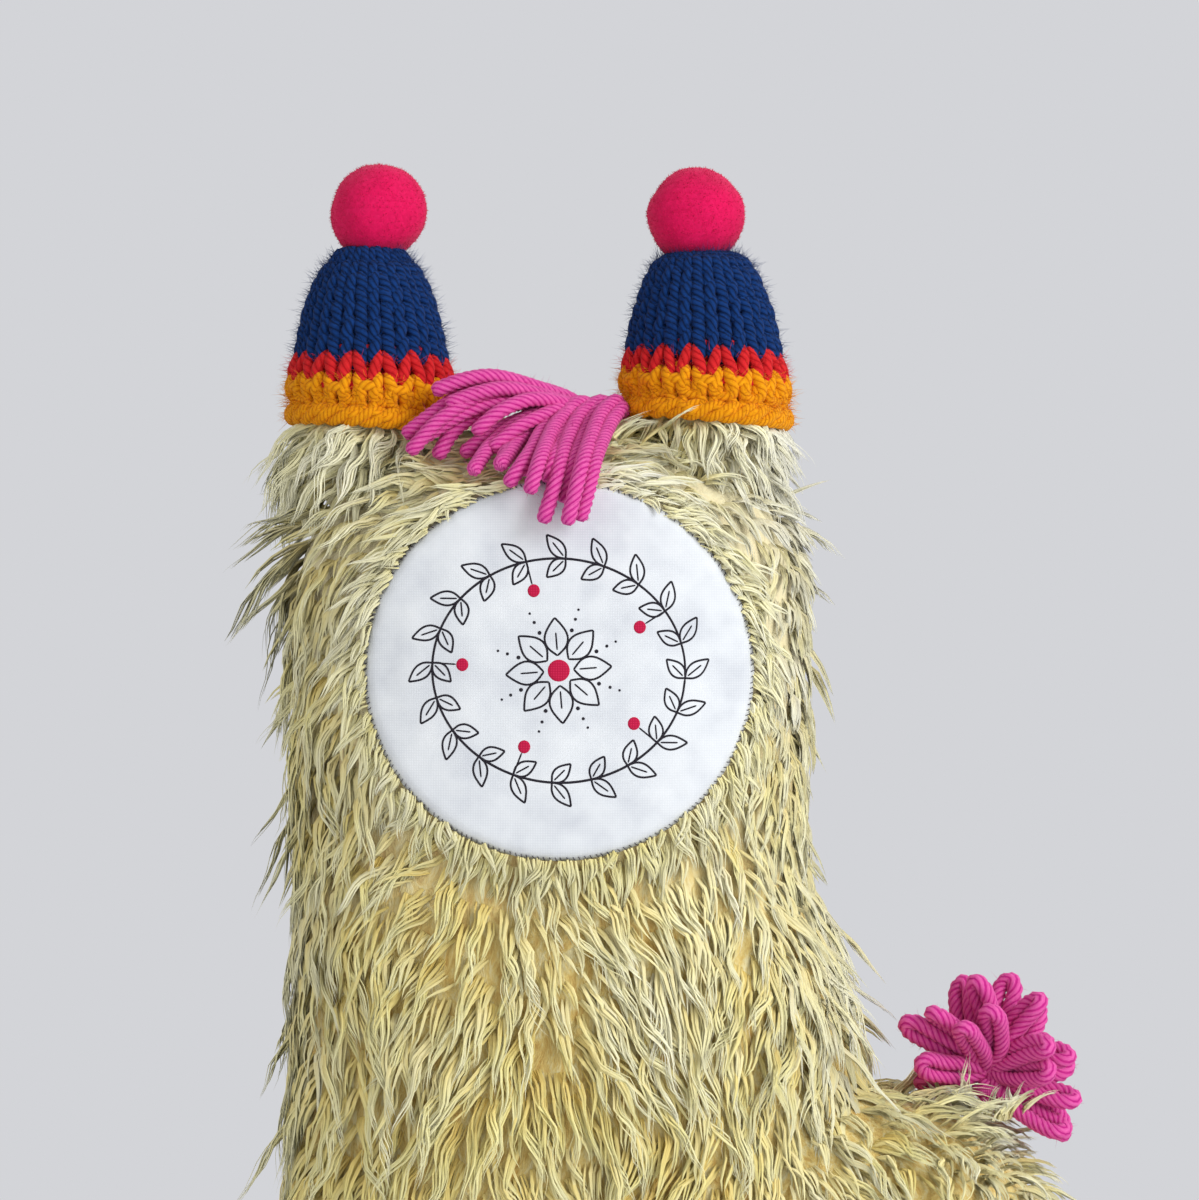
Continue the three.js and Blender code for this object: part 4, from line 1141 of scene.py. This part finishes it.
LEG_FUR_LOW, LEG_FUR_TOP = 4 * MM, 74 * MM
LOWEST_STRAND = 0.8 * MM  # over the floor
for number, (leg, backing) in enumerate(leg_backings.items()):
    roots, normals = root_points(backing, 4.3 * MM, seed=41 + number)
    keep = (roots[:, 2] > LEG_FUR_LOW) & (roots[:, 2] < LEG_FUR_TOP) & (np.abs(normals[:, 2]) < 0.8)
    roots, normals = roots[keep], normals[keep]
    comb = DOWN + 0.4 * np.cross(normals, [0, 0, 1]) * wander(roots, 20 * MM, (5, 0, 0))[:, None]
    length = np.minimum(17 * MM, roots[:, 2] + 4 * MM)
    locks = grow_locks(roots, normals, comb, length, fur_columns(roots, seed=45), seed=47 + number,
                       cores=4, fibres=1, points=8, curl=0.8)
    for strands in kept_in_box(locks):
        strands["paths"][..., 2] = np.maximum(strands["paths"][..., 2], LOWEST_STRAND)
    fur_pieces(f"{leg}_leg_fur", f"{leg}_leg", locks)

# %% [markdown]
# The caps are hand-knitted in thick wool. In plain knitting each row is one yarn that goes up and
# down in loops. A loop's two legs lie in front and make a V, and its head and feet hook behind the
# rows above and below. Three sine curves give that path: along the row, up and down, and in and
# out. A purl row is the same loop seen from behind, so its heads lie in front. The wool is plied
# from four strands, which show as slanting ridges.

# %% Wool
WOOL_PLIES = 4
KNIT_TWISTS = 4  # turns of the plies in one stitch
# For each colour, dark, middle and light: painted shade in the grooves between plies and stitches, and a
# painted highlight on their crowns.
WOOL = {"blue": ("020919", "061e45", "123d80"), "red": ("66060d", "bc141d", "e02c30"),
        "yellow": ("954302", "d98204", "f9a912")}
knit_wool = {name: yarn_material("knitted_wool_" + name, *shades, WOOL_PLIES, KNIT_TWISTS)
             for name, shades in WOOL.items()}

# %% The cap's outline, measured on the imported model
CAP_HEIGHTS = np.linspace(0.4, 45, 46) * MM
PROBE = 60 * MM  # rays come in from this far off the cap's axis


def in_frame(local, side):
    """Directions given as across, towards +Y and up an ear, turned to the frame's."""
    return local @ np.stack([EAR_AXES[side], [0, 1, 0], EAR_UPS[side]])


def ear_places(local, side):
    """Places given in the same way, from the ear's root."""
    return EAR_ROOTS[side] + in_frame(local, side)


def cap_outline(side):
    """Heights over the cap's lower edge, outside radii and the distance along them."""
    surface = surface_of(*(cad_nodes[f"{side}_cap_{band}"] for band in ("brim", "stripe", "crown")))
    radii = []
    for height in CAP_HEIGHTS:
        found = 0
        for angle in turns(28):
            far = np.array([math.cos(angle), math.sin(angle), 0]) * PROBE
            start, middle = ear_places(np.array([far, [0, 0, 0]]) + [0, 0, CAP_LOWER_EDGE + height], side)
            hit = surface.ray_cast(Vector(start), Vector(middle - start).normalized())[3]
            found = max(found, PROBE - hit if hit else 0)
        radii.append(found)
    ends = np.concatenate([[radii[0]] * 2, radii, [radii[-1]] * 2])
    smooth = np.convolve(ends, np.full(5, 0.2), "valid")
    return CAP_HEIGHTS, smooth, np.append(0, np.cumsum(np.hypot(np.diff(CAP_HEIGHTS), np.diff(smooth))))


def on_cap(outline, side, angle, along, out):
    """Places on the cap, out from its outline, and the ways out. The lower rows slope to one side."""
    heights, radii, lengths = outline
    height, radius = np.interp(along, lengths, heights), np.interp(along, lengths, radii)
    growth = np.interp(along + 1 * MM, lengths, radii) - np.interp(along - 1 * MM, lengths, radii)
    tilt = np.arcsin(np.clip(-growth / (2 * MM), -1, 1))
    normal = np.stack([np.cos(tilt) * np.cos(angle), np.cos(tilt) * np.sin(angle), np.sin(tilt)], -1)
    base = np.stack([radius * np.cos(angle), radius * np.sin(angle), CAP_LOWER_EDGE + height], -1)
    base[..., 2] -= CAP_SLOPES[side] * base[..., 0] * (1 - along / lengths[-1])
    return ear_places(base + normal * np.asarray(out)[..., None], side), in_frame(normal, side)


# %% Knitted rows
COLUMNS = 16
ROW_PITCH = 4.3 * MM
WOOL_RADIUS = 1.55 * MM
STITCH_POINTS = 18
LOOP_SWING, LOOP_RISE = 0.2, 0.88  # of the curves along and up, as shares of a stitch and of a row
LOOP_DEPTH = 0.75 * MM  # of the curve in and out
SHADE_WALL_OUT = (-3.3 * MM, -3.9 * MM)  # its two faces, from the cap's outline
CAP_TOP = 43 * MM  # the middle of the shade wall's top, over the lower edge
CAP_SLOPES = {"left": math.tan(math.radians(4)), "right": math.tan(math.radians(6))}


def knit_row(outline, side, along, facing, rng, tall=1.0):
    """One row of loops as a closed tube. Facing is 1 for legs in front and -1 for heads in front."""
    stitch = np.arange(COLUMNS * STITCH_POINTS) / STITCH_POINTS
    t = 2 * np.pi * stitch

    def uneven(amount):
        values = rng.normal(0, amount, COLUMNS)
        return np.interp(stitch, np.arange(COLUMNS + 1), np.append(values, values[0]))

    swing = LOOP_SWING + uneven(0.02)
    angle = 2 * np.pi * (stitch + swing * np.sin(2 * t)) / COLUMNS
    place = along + (LOOP_RISE + uneven(0.05)) * tall * ROW_PITCH * np.cos(t) + uneven(0.15) * MM
    out = (-2.0 + uneven(0.14)) * MM - facing * LOOP_DEPTH * np.cos(2 * t)
    paths, ways = on_cap(outline, side, angle, place, out)
    lumps = np.convolve(np.tile(rng.normal(0, 0.12, len(t)), 3), np.full(4, 0.25), "same")[len(t):2 * len(t)]
    thinner = np.interp(place / outline[2][-1], [0.75, 1], [1, 0.75])
    radius = WOOL_RADIUS * thinner * (0.97 + uneven(0.05) + lumps)
    return sweep(paths[None], radius[None, :, None], ways[None], 8, closed=True, tiles=COLUMNS)


def cast_on_rope(outline, side, along, twists=9, strands=3):
    """The cast-on edge: strands of wool that wind round each other along the lower edge."""
    angle = turns(twists * 18)
    parts = []
    for start in turns(strands):
        phase = twists * angle + start
        place, out = along + 1.5 * MM * np.sin(phase), (-2.1 + 0.9 * np.cos(phase)) * MM
        paths, ways = on_cap(outline, side, angle, place, out)
        parts.append(sweep(paths[None], WOOL_RADIUS * 0.88, ways[None], 10, closed=True, tiles=twists))
    return parts


def shade_wall(outline, side, low, high, closed_top):
    """A thin wall behind the rows, in the yarn's darker colours: painted shade seen through the gaps between
    stitches.
    """
    along, spokes = np.linspace(low, high, 10), 48
    rings = [on_cap(outline, side, turns(spokes), np.full(spokes, a), np.full(spokes, out))[0]
             for wall, out in zip((along, along[::-1]), SHADE_WALL_OUT, strict=True) for a in wall]
    if closed_top:
        middle = ear_places(np.array([0, 0, CAP_LOWER_EDGE + CAP_TOP]), side)
        for place, share in ((len(along), 0.02), (len(along) + 1, 0.01)):
            rings.insert(place, middle + share * (rings[len(along) - 1] - middle))
    quads = band_quads(len(rings), spokes, closed=True)
    uv = np.broadcast_to(0.02 * np.array(QUAD_CORNERS), (len(quads), 4, 2))
    return np.concatenate(rings), [quads], [uv]


# %% Knit the caps
CAST_ON, PURL_ROW, FIRST_KNIT, RED_ROW, FIRST_BLUE = 2.7 * MM, 6.4 * MM, 10.4 * MM, 15.4 * MM, 20.4 * MM
RED_LOW, BLUE_LOW = (FIRST_KNIT + RED_ROW) / 2, (RED_ROW + FIRST_BLUE) / 2
RED_TALL = 1.22  # the red stitches are drawn out
HAIRS_PER_MM = 110
WOOL_HAIR = (3.2 * MM, 0.075 * MM)  # length and radius
for number, side in enumerate(EAR_ROOTS):
    rng = np.random.default_rng(61 + number)
    outline = cap_outline(side)
    top = outline[2][-1]
    bands = {
        "brim": ("yellow", [*cast_on_rope(outline, side, CAST_ON), knit_row(outline, side, PURL_ROW, -1, rng),
                            knit_row(outline, side, FIRST_KNIT, 1, rng)], 0.5 * MM, RED_LOW),
        "stripe": ("red", [knit_row(outline, side, RED_ROW, 1, rng, RED_TALL)], RED_LOW, BLUE_LOW),
        "crown": ("blue", [knit_row(outline, side, a, 1, rng) for a in np.arange(FIRST_BLUE, top, ROW_PITCH)],
                  BLUE_LOW, top),
    }
    for band, (colour, rows, low, high) in bands.items():
        # A wall of painted shade behind the rows, seen through the gaps between stitches.
        rows.append(shade_wall(outline, side, low, high, closed_top=band == "crown"))
        hairs = int((high - low) / MM * HAIRS_PER_MM)
        angle, along = rng.uniform(0, 2 * np.pi, hairs), rng.uniform(low, high, hairs)
        roots, ways = on_cap(outline, side, angle, along, np.full(hairs, -1.0 * MM))
        rows.append(fuzz(roots, ways, *WOOL_HAIR, seed=63 + number, uv_place=(0.17, 0.8)))
        tube_piece(f"{side}_cap_{band}_knit", f"{side}_ear", rows, knit_wool[colour],
                   f"{colour}_yarn", f"{side}_cap_{band}")

# %% [markdown]
# The pompoms are felted balls. Wool felt is slightly lumpy, with a nap of very short fibres that
# softens its edge. A ball is shaped with a slow noise, and the nap grows from it.

# %% Pompoms
NAP_HAIRS = 4300
NAP_RADIUS = 0.085 * MM
pompom_felt = pile_material(
    "felted_wool_pink",
    root=[(0.0, "b80a44"), (0.5, "cc0d4e"), (1.0, "da1256")],
    body=[(0.0, "cc0e4e"), (0.5, "dc1458"), (1.0, "e81c62")],
    tip=[(0.0, "d81456"), (0.5, "e61e62"), (1.0, "ef2f70")],
    roughness=0.95, specular=0.08, sheen=0.08)


def lumpy(places, centre, number):
    """Places on a ball, moved in or out by its lumps."""
    broad = wander(places, 9 * MM, (number * 4, 1, 0)) * 0.5
    fine = wander(places, 2.5 * MM, (1, number * 3, 0)) * 0.12
    return places + unit(places - centre) * (broad + fine)[:, None] * MM


for number, side in enumerate(EAR_ROOTS):
    centre, half = middle_and_half(f"{side}_pompom")
    radius = half.max() - 0.5 * MM
    bpy.ops.mesh.primitive_ico_sphere_add(subdivisions=4, radius=radius, location=centre)
    ball = bpy.context.object
    bpy.ops.object.transform_apply(location=True, rotation=True, scale=True)
    places = lumpy(read(ball.data.vertices, "co").astype(float), centre, number)
    corners = read(ball.data.polygons, "vertices", kind=np.int32)
    bpy.data.objects.remove(ball)
    columns = tint_columns(places[corners].mean(1), 8 * MM, (2, 0, number), seed=71 + number)
    face_uv = np.array([[0.2, 0.4], [0.8, 0.4], [0.5, 0.6]])
    across = (columns[:, None] + face_uv[:, 0]) / TINTS
    ball_uv = np.stack(np.broadcast_arrays(across, face_uv[:, 1]), -1)
    rng = np.random.default_rng(73 + number)
    ways = unit(rng.normal(0, 1, (NAP_HAIRS, 3)))
    nap_roots = lumpy(centre + ways * radius, centre, number)
    lean = unit(ways + rng.normal(0, 0.75, ways.shape))
    steps = np.linspace(0, 1, 3)[None, :, None]
    reach = rng.uniform(0.4, 1.0, (NAP_HAIRS, 1, 1)) * MM
    paths = nap_roots[:, None] - ways[:, None] * 0.2 * MM + lean[:, None] * reach * steps
    ups = unit(rng.normal(0, 1, ways.shape))[:, None]
    radii = NAP_RADIUS * (1.15 - steps)
    nap_places, nap_faces, nap_uvs = sweep(paths, radii, ups, PILE_SIDES, point_end=True)
    columns = tint_columns(nap_roots, 8 * MM, (2, 0, number), seed=75 + number)
    nap = (nap_places, nap_faces, chart_uvs(nap_uvs, columns, 0.4, 0.9))
    tube_piece(f"{side}_pompom_felt", f"{side}_ear", [(places, [corners], [ball_uv]), nap],
               pompom_felt, "pink_pompom", f"{side}_pompom")

# %% [markdown]
# The face is plain-woven white cotton, cut round and sewn on over its wadding with small dark
# stitches. The sheet is a polar grid laid on the measured curve, and its edge turns under. The
# weave is drawn a little coarser than real so that it shows. The picture printed on it is a wreath
# of leaves and berries round a flower, in fine ink lines that follow the cloth.

# %% Cotton with its weave
WEAVE_SPACING = 0.6 * MM  # real cotton has about 0.4
WAVE_SCALE = 2 * math.pi / (20 * WEAVE_SPACING)  # the wave texture counts 20 radians to a unit


def cotton_material(name, roughness, specular, sheen, stops, weave_share=1.0):
    """Threads over and under along X and Z, and slow creases. Both shape the bump, and the colour is darker
    where they dip: painted shade in the hollows.
    """
    material, tree = new_material(name, roughness, specular, sheen)
    place = add(tree, "TexCoord").outputs["Object"]
    wave = {"Vector": place, "Scale": WAVE_SCALE, "Distortion": 0.6, "Detail": 2, "Detail Scale": 0.4}
    bands = [add(tree, "TexWave", {"bands_direction": way}, wave).outputs["Fac"] for way in ("X", "Z")]
    threads = maths(tree, "MULTIPLY", *bands)
    creases = mottle(tree, place, 1 / (9 * MM), 2)
    shade = threads if weave_share == 1 else blend(tree, threads, weave_share, creases, 1 - weave_share)
    height = maths(tree, "ADD", maths(tree, "MULTIPLY", threads, 0.08), creases)
    finish_shader(tree, ramp(tree, shade, stops), height, 0.5, 0.5 * MM)
    return material


# Grey in the hollows of the weave and the creases, as painted shade, up to white on the threads.
cotton = cotton_material("woven_cotton_white", 0.9, 0.25, 0.15,
                         [(0.15, "c9ced8"), (0.45, "dde2e9"), (0.8, "ebeff4")], 0.22)
RINGS, SPOKES = 32, 132
CLOTH_THICKNESS = 0.35 * MM
PUCKER, TURNED_UNDER = 0.22 * MM, 1.9 * MM  # how far the edge waves, and how far it goes back
across, up = polar_grid(RINGS, SPOKES)
depth = depths_at(patch_surface, across, up, np.nan)
rim, inner_rim = depth[-SPOKES:], depth[-2 * SPOKES:-SPOKES]
rim[:] = np.where(np.isnan(rim), inner_rim, rim)
for _ in range(14):
    ringed = depth[1:].reshape(RINGS, SPOKES)
    inner = np.vstack([np.full(SPOKES, depth[0]), ringed[:-1]])
    outer = np.vstack([ringed[1:], ringed[-1:]])
    ringed = (ringed * 2 + np.roll(ringed, 1, 1) + np.roll(ringed, -1, 1) + inner + outer) / 6
    depth = np.append(ringed[0].mean(), ringed.ravel())
cloth = np.stack([across, depth, up], -1)
share = face_share(cloth)[0]
spin = np.arctan2(up - FACE_CENTRE[2], across - FACE_CENTRE[0])
cloth[:, 1] += PUCKER * (np.sin(spin * 61) + 0.6 * np.sin(spin * 37 + 1)) * rise(share, 0.86, 0.14) ** 1.5
cloth[:, 1] += TURNED_UNDER * rise(share, 0.93, 0.07) ** 2.5
face_cloth = mesh_piece("face_cloth", cloth, disc_faces(RINGS, SPOKES), cotton)
make_active(face_cloth)
modify(face_cloth, "SOLIDIFY", thickness=CLOTH_THICKNESS, offset=-1)
dress(face_cloth, "body", "white_cotton", "face_patch")

# %% Printed picture
INK_WIDTH, FINE_INK = 0.5 * MM, 0.4 * MM
INK_RISE = 0.07 * MM  # how far the ink stands off
SPOT_RINGS = ((1.0, -0.05 * MM), (0.97, 0.06 * MM), (0.6, INK_RISE))  # share of the size, and height
cloth_surface = surface_of(face_cloth)
ink = cotton_material("printed_ink_black", 0.85, 0.2, 0.0, [(0.0, "1d1a22"), (0.6, "33303a")])
blush = cotton_material("printed_ink_crimson", 0.85, 0.2, 0.0, [(0.0, "b3123f"), (0.6, "cc2450")])


def way_at(turn):
    """The direction at an angle, across and up."""
    return np.array([math.cos(turn), math.sin(turn)])


def on_cloth(across, up, lift=0.03 * MM):
    """Points of the picture, in metres along the face's own axes, laid on the cloth."""
    x, z = on_face(across, up)
    return np.stack([x, depths_at(cloth_surface, x, z, FACE_CENTRE[1]) - lift, z], -1)


def ink_line(places, width=INK_WIDTH):
    """A printed line with round ends through points in millimetres."""
    flat = smooth_route(np.array([(across, up, 0) for across, up in places]) * MM, 6 * (len(places) - 1))
    path = on_cloth(flat[:, 0], flat[:, 1])
    section = 1 / np.hypot(np.cos(turns(6)) / (width / 2), np.sin(turns(6)) / INK_RISE)
    ends = np.ones(len(path))
    ends[[0, -1]] = 0.55
    return sweep(path[None], ends[None, :, None] * section, FORWARD, 6)


def ink_spot(centre, half, spokes=24):
    """A printed oval, its centre and half sizes in millimetres."""
    centre, half = np.array(centre)[:, None], np.array(half)[:, None]
    circle = np.stack([np.cos(turns(spokes)), np.sin(turns(spokes))])
    rings = [on_cloth(*((centre + half * share * circle) * MM), lift) for share, lift in SPOT_RINGS]
    middle = on_cloth(*(centre * MM), INK_RISE)
    faces = [band_quads(3, spokes), fan(2 * spokes, spokes, 3 * spokes), np.arange(spokes)[::-1][None]]
    return np.concatenate([*rings, middle]), faces, [np.zeros((*block.shape, 2)) for block in faces]


def leaf(base, direction, size, width, vein=True):
    """A leaf or petal as two curved lines and its vein. Sizes are in millimetres."""
    along, aside = way_at(direction), way_at(direction + math.pi / 2)
    t = np.linspace(0, 1, 6)
    belly = np.sin(np.pi * t ** 0.85) * width / 2
    drawn = [ink_line(base + np.outer(t * size, along) + np.outer(sign * belly, aside)) for sign in (-1, 1)]
    if vein:
        drawn.append(ink_line(base + np.outer([0.12 * size, 0.4 * size, 0.68 * size], along), FINE_INK))
    return drawn


# A wreath of leaves and berries round a flower
WREATH = np.array([30.5, 27.0])  # half width and height of the wreath's stem
LEAF_PAIRS, PETALS = 20, 8
PETAL_DOTS = ((10.2, 0.5), (13.0, 0.4), (15.4, 0.32))  # how far out between the petals, and their size
lines = [ink_line([WREATH * way_at(turn) for turn in np.linspace(0, 2 * np.pi, 37)], 0.6 * MM)]
berries = []
for number, turn in enumerate(turns(LEAF_PAIRS)):
    way = way_at(turn)
    base = WREATH * way
    ahead = math.atan2(WREATH[1] * way[0], -WREATH[0] * way[1])
    for side, size in ((-1, 7.4), (1, 6.4)):
        lines += leaf(base, ahead + side * math.radians(48), size, 3.4)
    if number % 4 == 2:
        berries.append(ink_spot(base - way * 7.2, (1.5, 1.6)))
        lines.append(ink_line([base - way * out for out in (0.3, 3.2, 5.6)], FINE_INK))
for turn in turns(PETALS) + math.radians(8):
    way, between = way_at(turn), way_at(turn + math.pi / PETALS)
    lines += leaf(way * 3.6, turn, 9.2, 5.6, vein=False)
    lines.append(ink_line([way * out for out in (5.0, 7.0, 9.2)], FINE_INK))
    lines += [ink_spot(between * out, (size, size), 10) for out, size in PETAL_DOTS]
berries.append(ink_spot((0, 0), (2.7, 2.7)))
tube_piece("printed_lines", "body", lines, ink, "dark_thread")
tube_piece("printed_spots", "body", berries, blush, "pink_yarn")

# %% [markdown]
# The cotton is sewn down by hand with small slanting stitches over its edge. Each comes up inside
# the edge, crosses it and goes down into the backing of the pile.

# %% Edge stitches
STITCHES = 210
THREAD_RADIUS = 0.1 * MM
# How far inside the edge, how far off the cloth and how far along the edge a stitch goes, in millimetres
STITCH_PATH = np.array([
    (1.0, -0.8, -0.2), (0.8, 0.02, -0.15), (0.5, 0.09, 0.0), (0.2, 0.0, 0.15), (0.0, -1.2, 0.2)])
stitch_rng = np.random.default_rng(151)
inside, lift, slant = STITCH_PATH.T * MM
on_the_cloth = np.maximum(inside, 0.45 * MM) + 0.1 * MM
parts = []
for turn in turns(STITCHES):
    at = turn + stitch_rng.normal(0, 0.002) + slant / FACE_HALF[0]
    (x, z), inner = (on_face((FACE_HALF[0] - back) * np.cos(at), (FACE_HALF[2] - back) * np.sin(at))
                     for back in (inside, on_the_cloth))
    path = np.stack([x, depths_at(cloth_surface, *inner, FACE_CENTRE[1]) - lift, z], -1)
    parts.append(sweep(smooth_route(path, 8)[None], THREAD_RADIUS, FORWARD, 5))
thread = yarn_material("polyester_thread_dark", "17131a", "342c37", "55495a", 2, 6)
tube_piece("edge_stitches", "body", parts, thread, "dark_thread", "face_edge_thread")

# %% [markdown]
# Each foot ends in a round sole of thick felt, with a rounded edge. Felt is fuzzy and a little
# uneven in colour.

# %% Soles
SOLE_ROUNDING = 0.7 * MM
felt = matted_material("pressed_felt_cream", "b8a673", "d8c792", "e8dcb0", stretch=1.0)
for leg in LEG_NAMES:
    middle, half = middle_and_half(f"{leg}_sole")
    bpy.ops.mesh.primitive_cylinder_add(vertices=72, radius=half[0], depth=2 * half[2], location=middle)
    sole = bpy.context.object
    sole.name = f"{leg}_felt_sole"
    bpy.ops.object.transform_apply(location=True, rotation=True, scale=True)
    modify(sole, "BEVEL", width=SOLE_ROUNDING, segments=3, limit_method="ANGLE")
    bpy.ops.object.shade_smooth_by_angle(angle=math.radians(40))
    sole.data.materials.append(felt)
    dress(sole, f"{leg}_leg", "cream_felt", f"{leg}_sole")

# %% [markdown]
# The floor is pale and fades out into the backdrop, so that no edge shows behind the toy. The
# main light comes from the right, in front, as in the photograph.

# %% Floor, light and background
FLOOR_RADIUS = 0.9
FADE_START, FADE_END = 0.32, 0.85  # distances from the middle of the floor, in metres
LAMP_AIM = Vector((0, 0, 0.22))  # the toy's neck
LAMPS = {  # place, width and watts
    "key_lamp": ((1.15, -1.0, 0.95), 0.8, 16.5),
    "fill_lamp": ((-1.3, -0.9, 0.6), 1.0, 2.2),
    "back_lamp": ((0.3, 1.4, 1.2), 0.9, 8),
    "low_lamp": ((0.8, -1.3, 0.08), 0.9, 4.5),
}
floor_material, tree = new_material("studio_floor", roughness=0.9, specular=0.2)
shader = tree.nodes["Principled BSDF"]
shader.inputs["Base Color"].default_value = linear("d8d9dc")
place = add(tree, "TexCoord").outputs["Object"]
distance = add(tree, "VectorMath", {"operation": "LENGTH"}, {0: place}).outputs["Value"]
fade = add(tree, "MapRange", {"interpolation_type": "SMOOTHSTEP"}, {0: distance, 1: FADE_START, 2: FADE_END})
clear = add(tree, "BsdfTransparent")
faded = add(tree, "MixShader", inputs={0: fade.outputs[0], 1: shader.outputs[0], 2: clear.outputs[0]})
tree.links.new(faded.outputs[0], tree.nodes["Material Output"].inputs["Surface"])
bpy.ops.mesh.primitive_circle_add(vertices=96, radius=FLOOR_RADIUS, fill_type="NGON", location=(0, 0, 0))
floor = bpy.context.object
floor.name = "floor"
floor.data.materials.append(floor_material)

world = bpy.data.worlds.new("studio")
bpy.context.scene.world = world
world.use_nodes = True
tree = world.node_tree
background = tree.nodes["Background"]
background.inputs["Color"].default_value = linear("e8e6e2")
background.inputs["Strength"].default_value = 0.7
backdrop = add(tree, "Background", inputs={"Color": linear("d3d4d8"), "Strength": 1.0})
rays = add(tree, "LightPath").outputs
seen = maths(tree, "MAXIMUM", rays["Is Camera Ray"],
             maths(tree, "MAXIMUM", rays["Is Glossy Ray"], rays["Is Transmission Ray"]))
mixed = add(tree, "MixShader", inputs={0: seen, 1: background.outputs[0], 2: backdrop.outputs[0]})
tree.links.new(mixed.outputs[0], tree.nodes["World Output"].inputs["Surface"])

for name, (place, size, power) in LAMPS.items():
    data = bpy.data.lights.new(name, "AREA")
    data.size = size
    data.energy = power
    lamp = bpy.data.objects.new(name, data)
    lamp.location = place
    lamp.rotation_euler = (LAMP_AIM - Vector(place)).to_track_quat("-Z", "Y").to_euler()
    bpy.context.scene.collection.objects.link(lamp)

bpy.context.scene.view_settings.view_transform = "Standard"
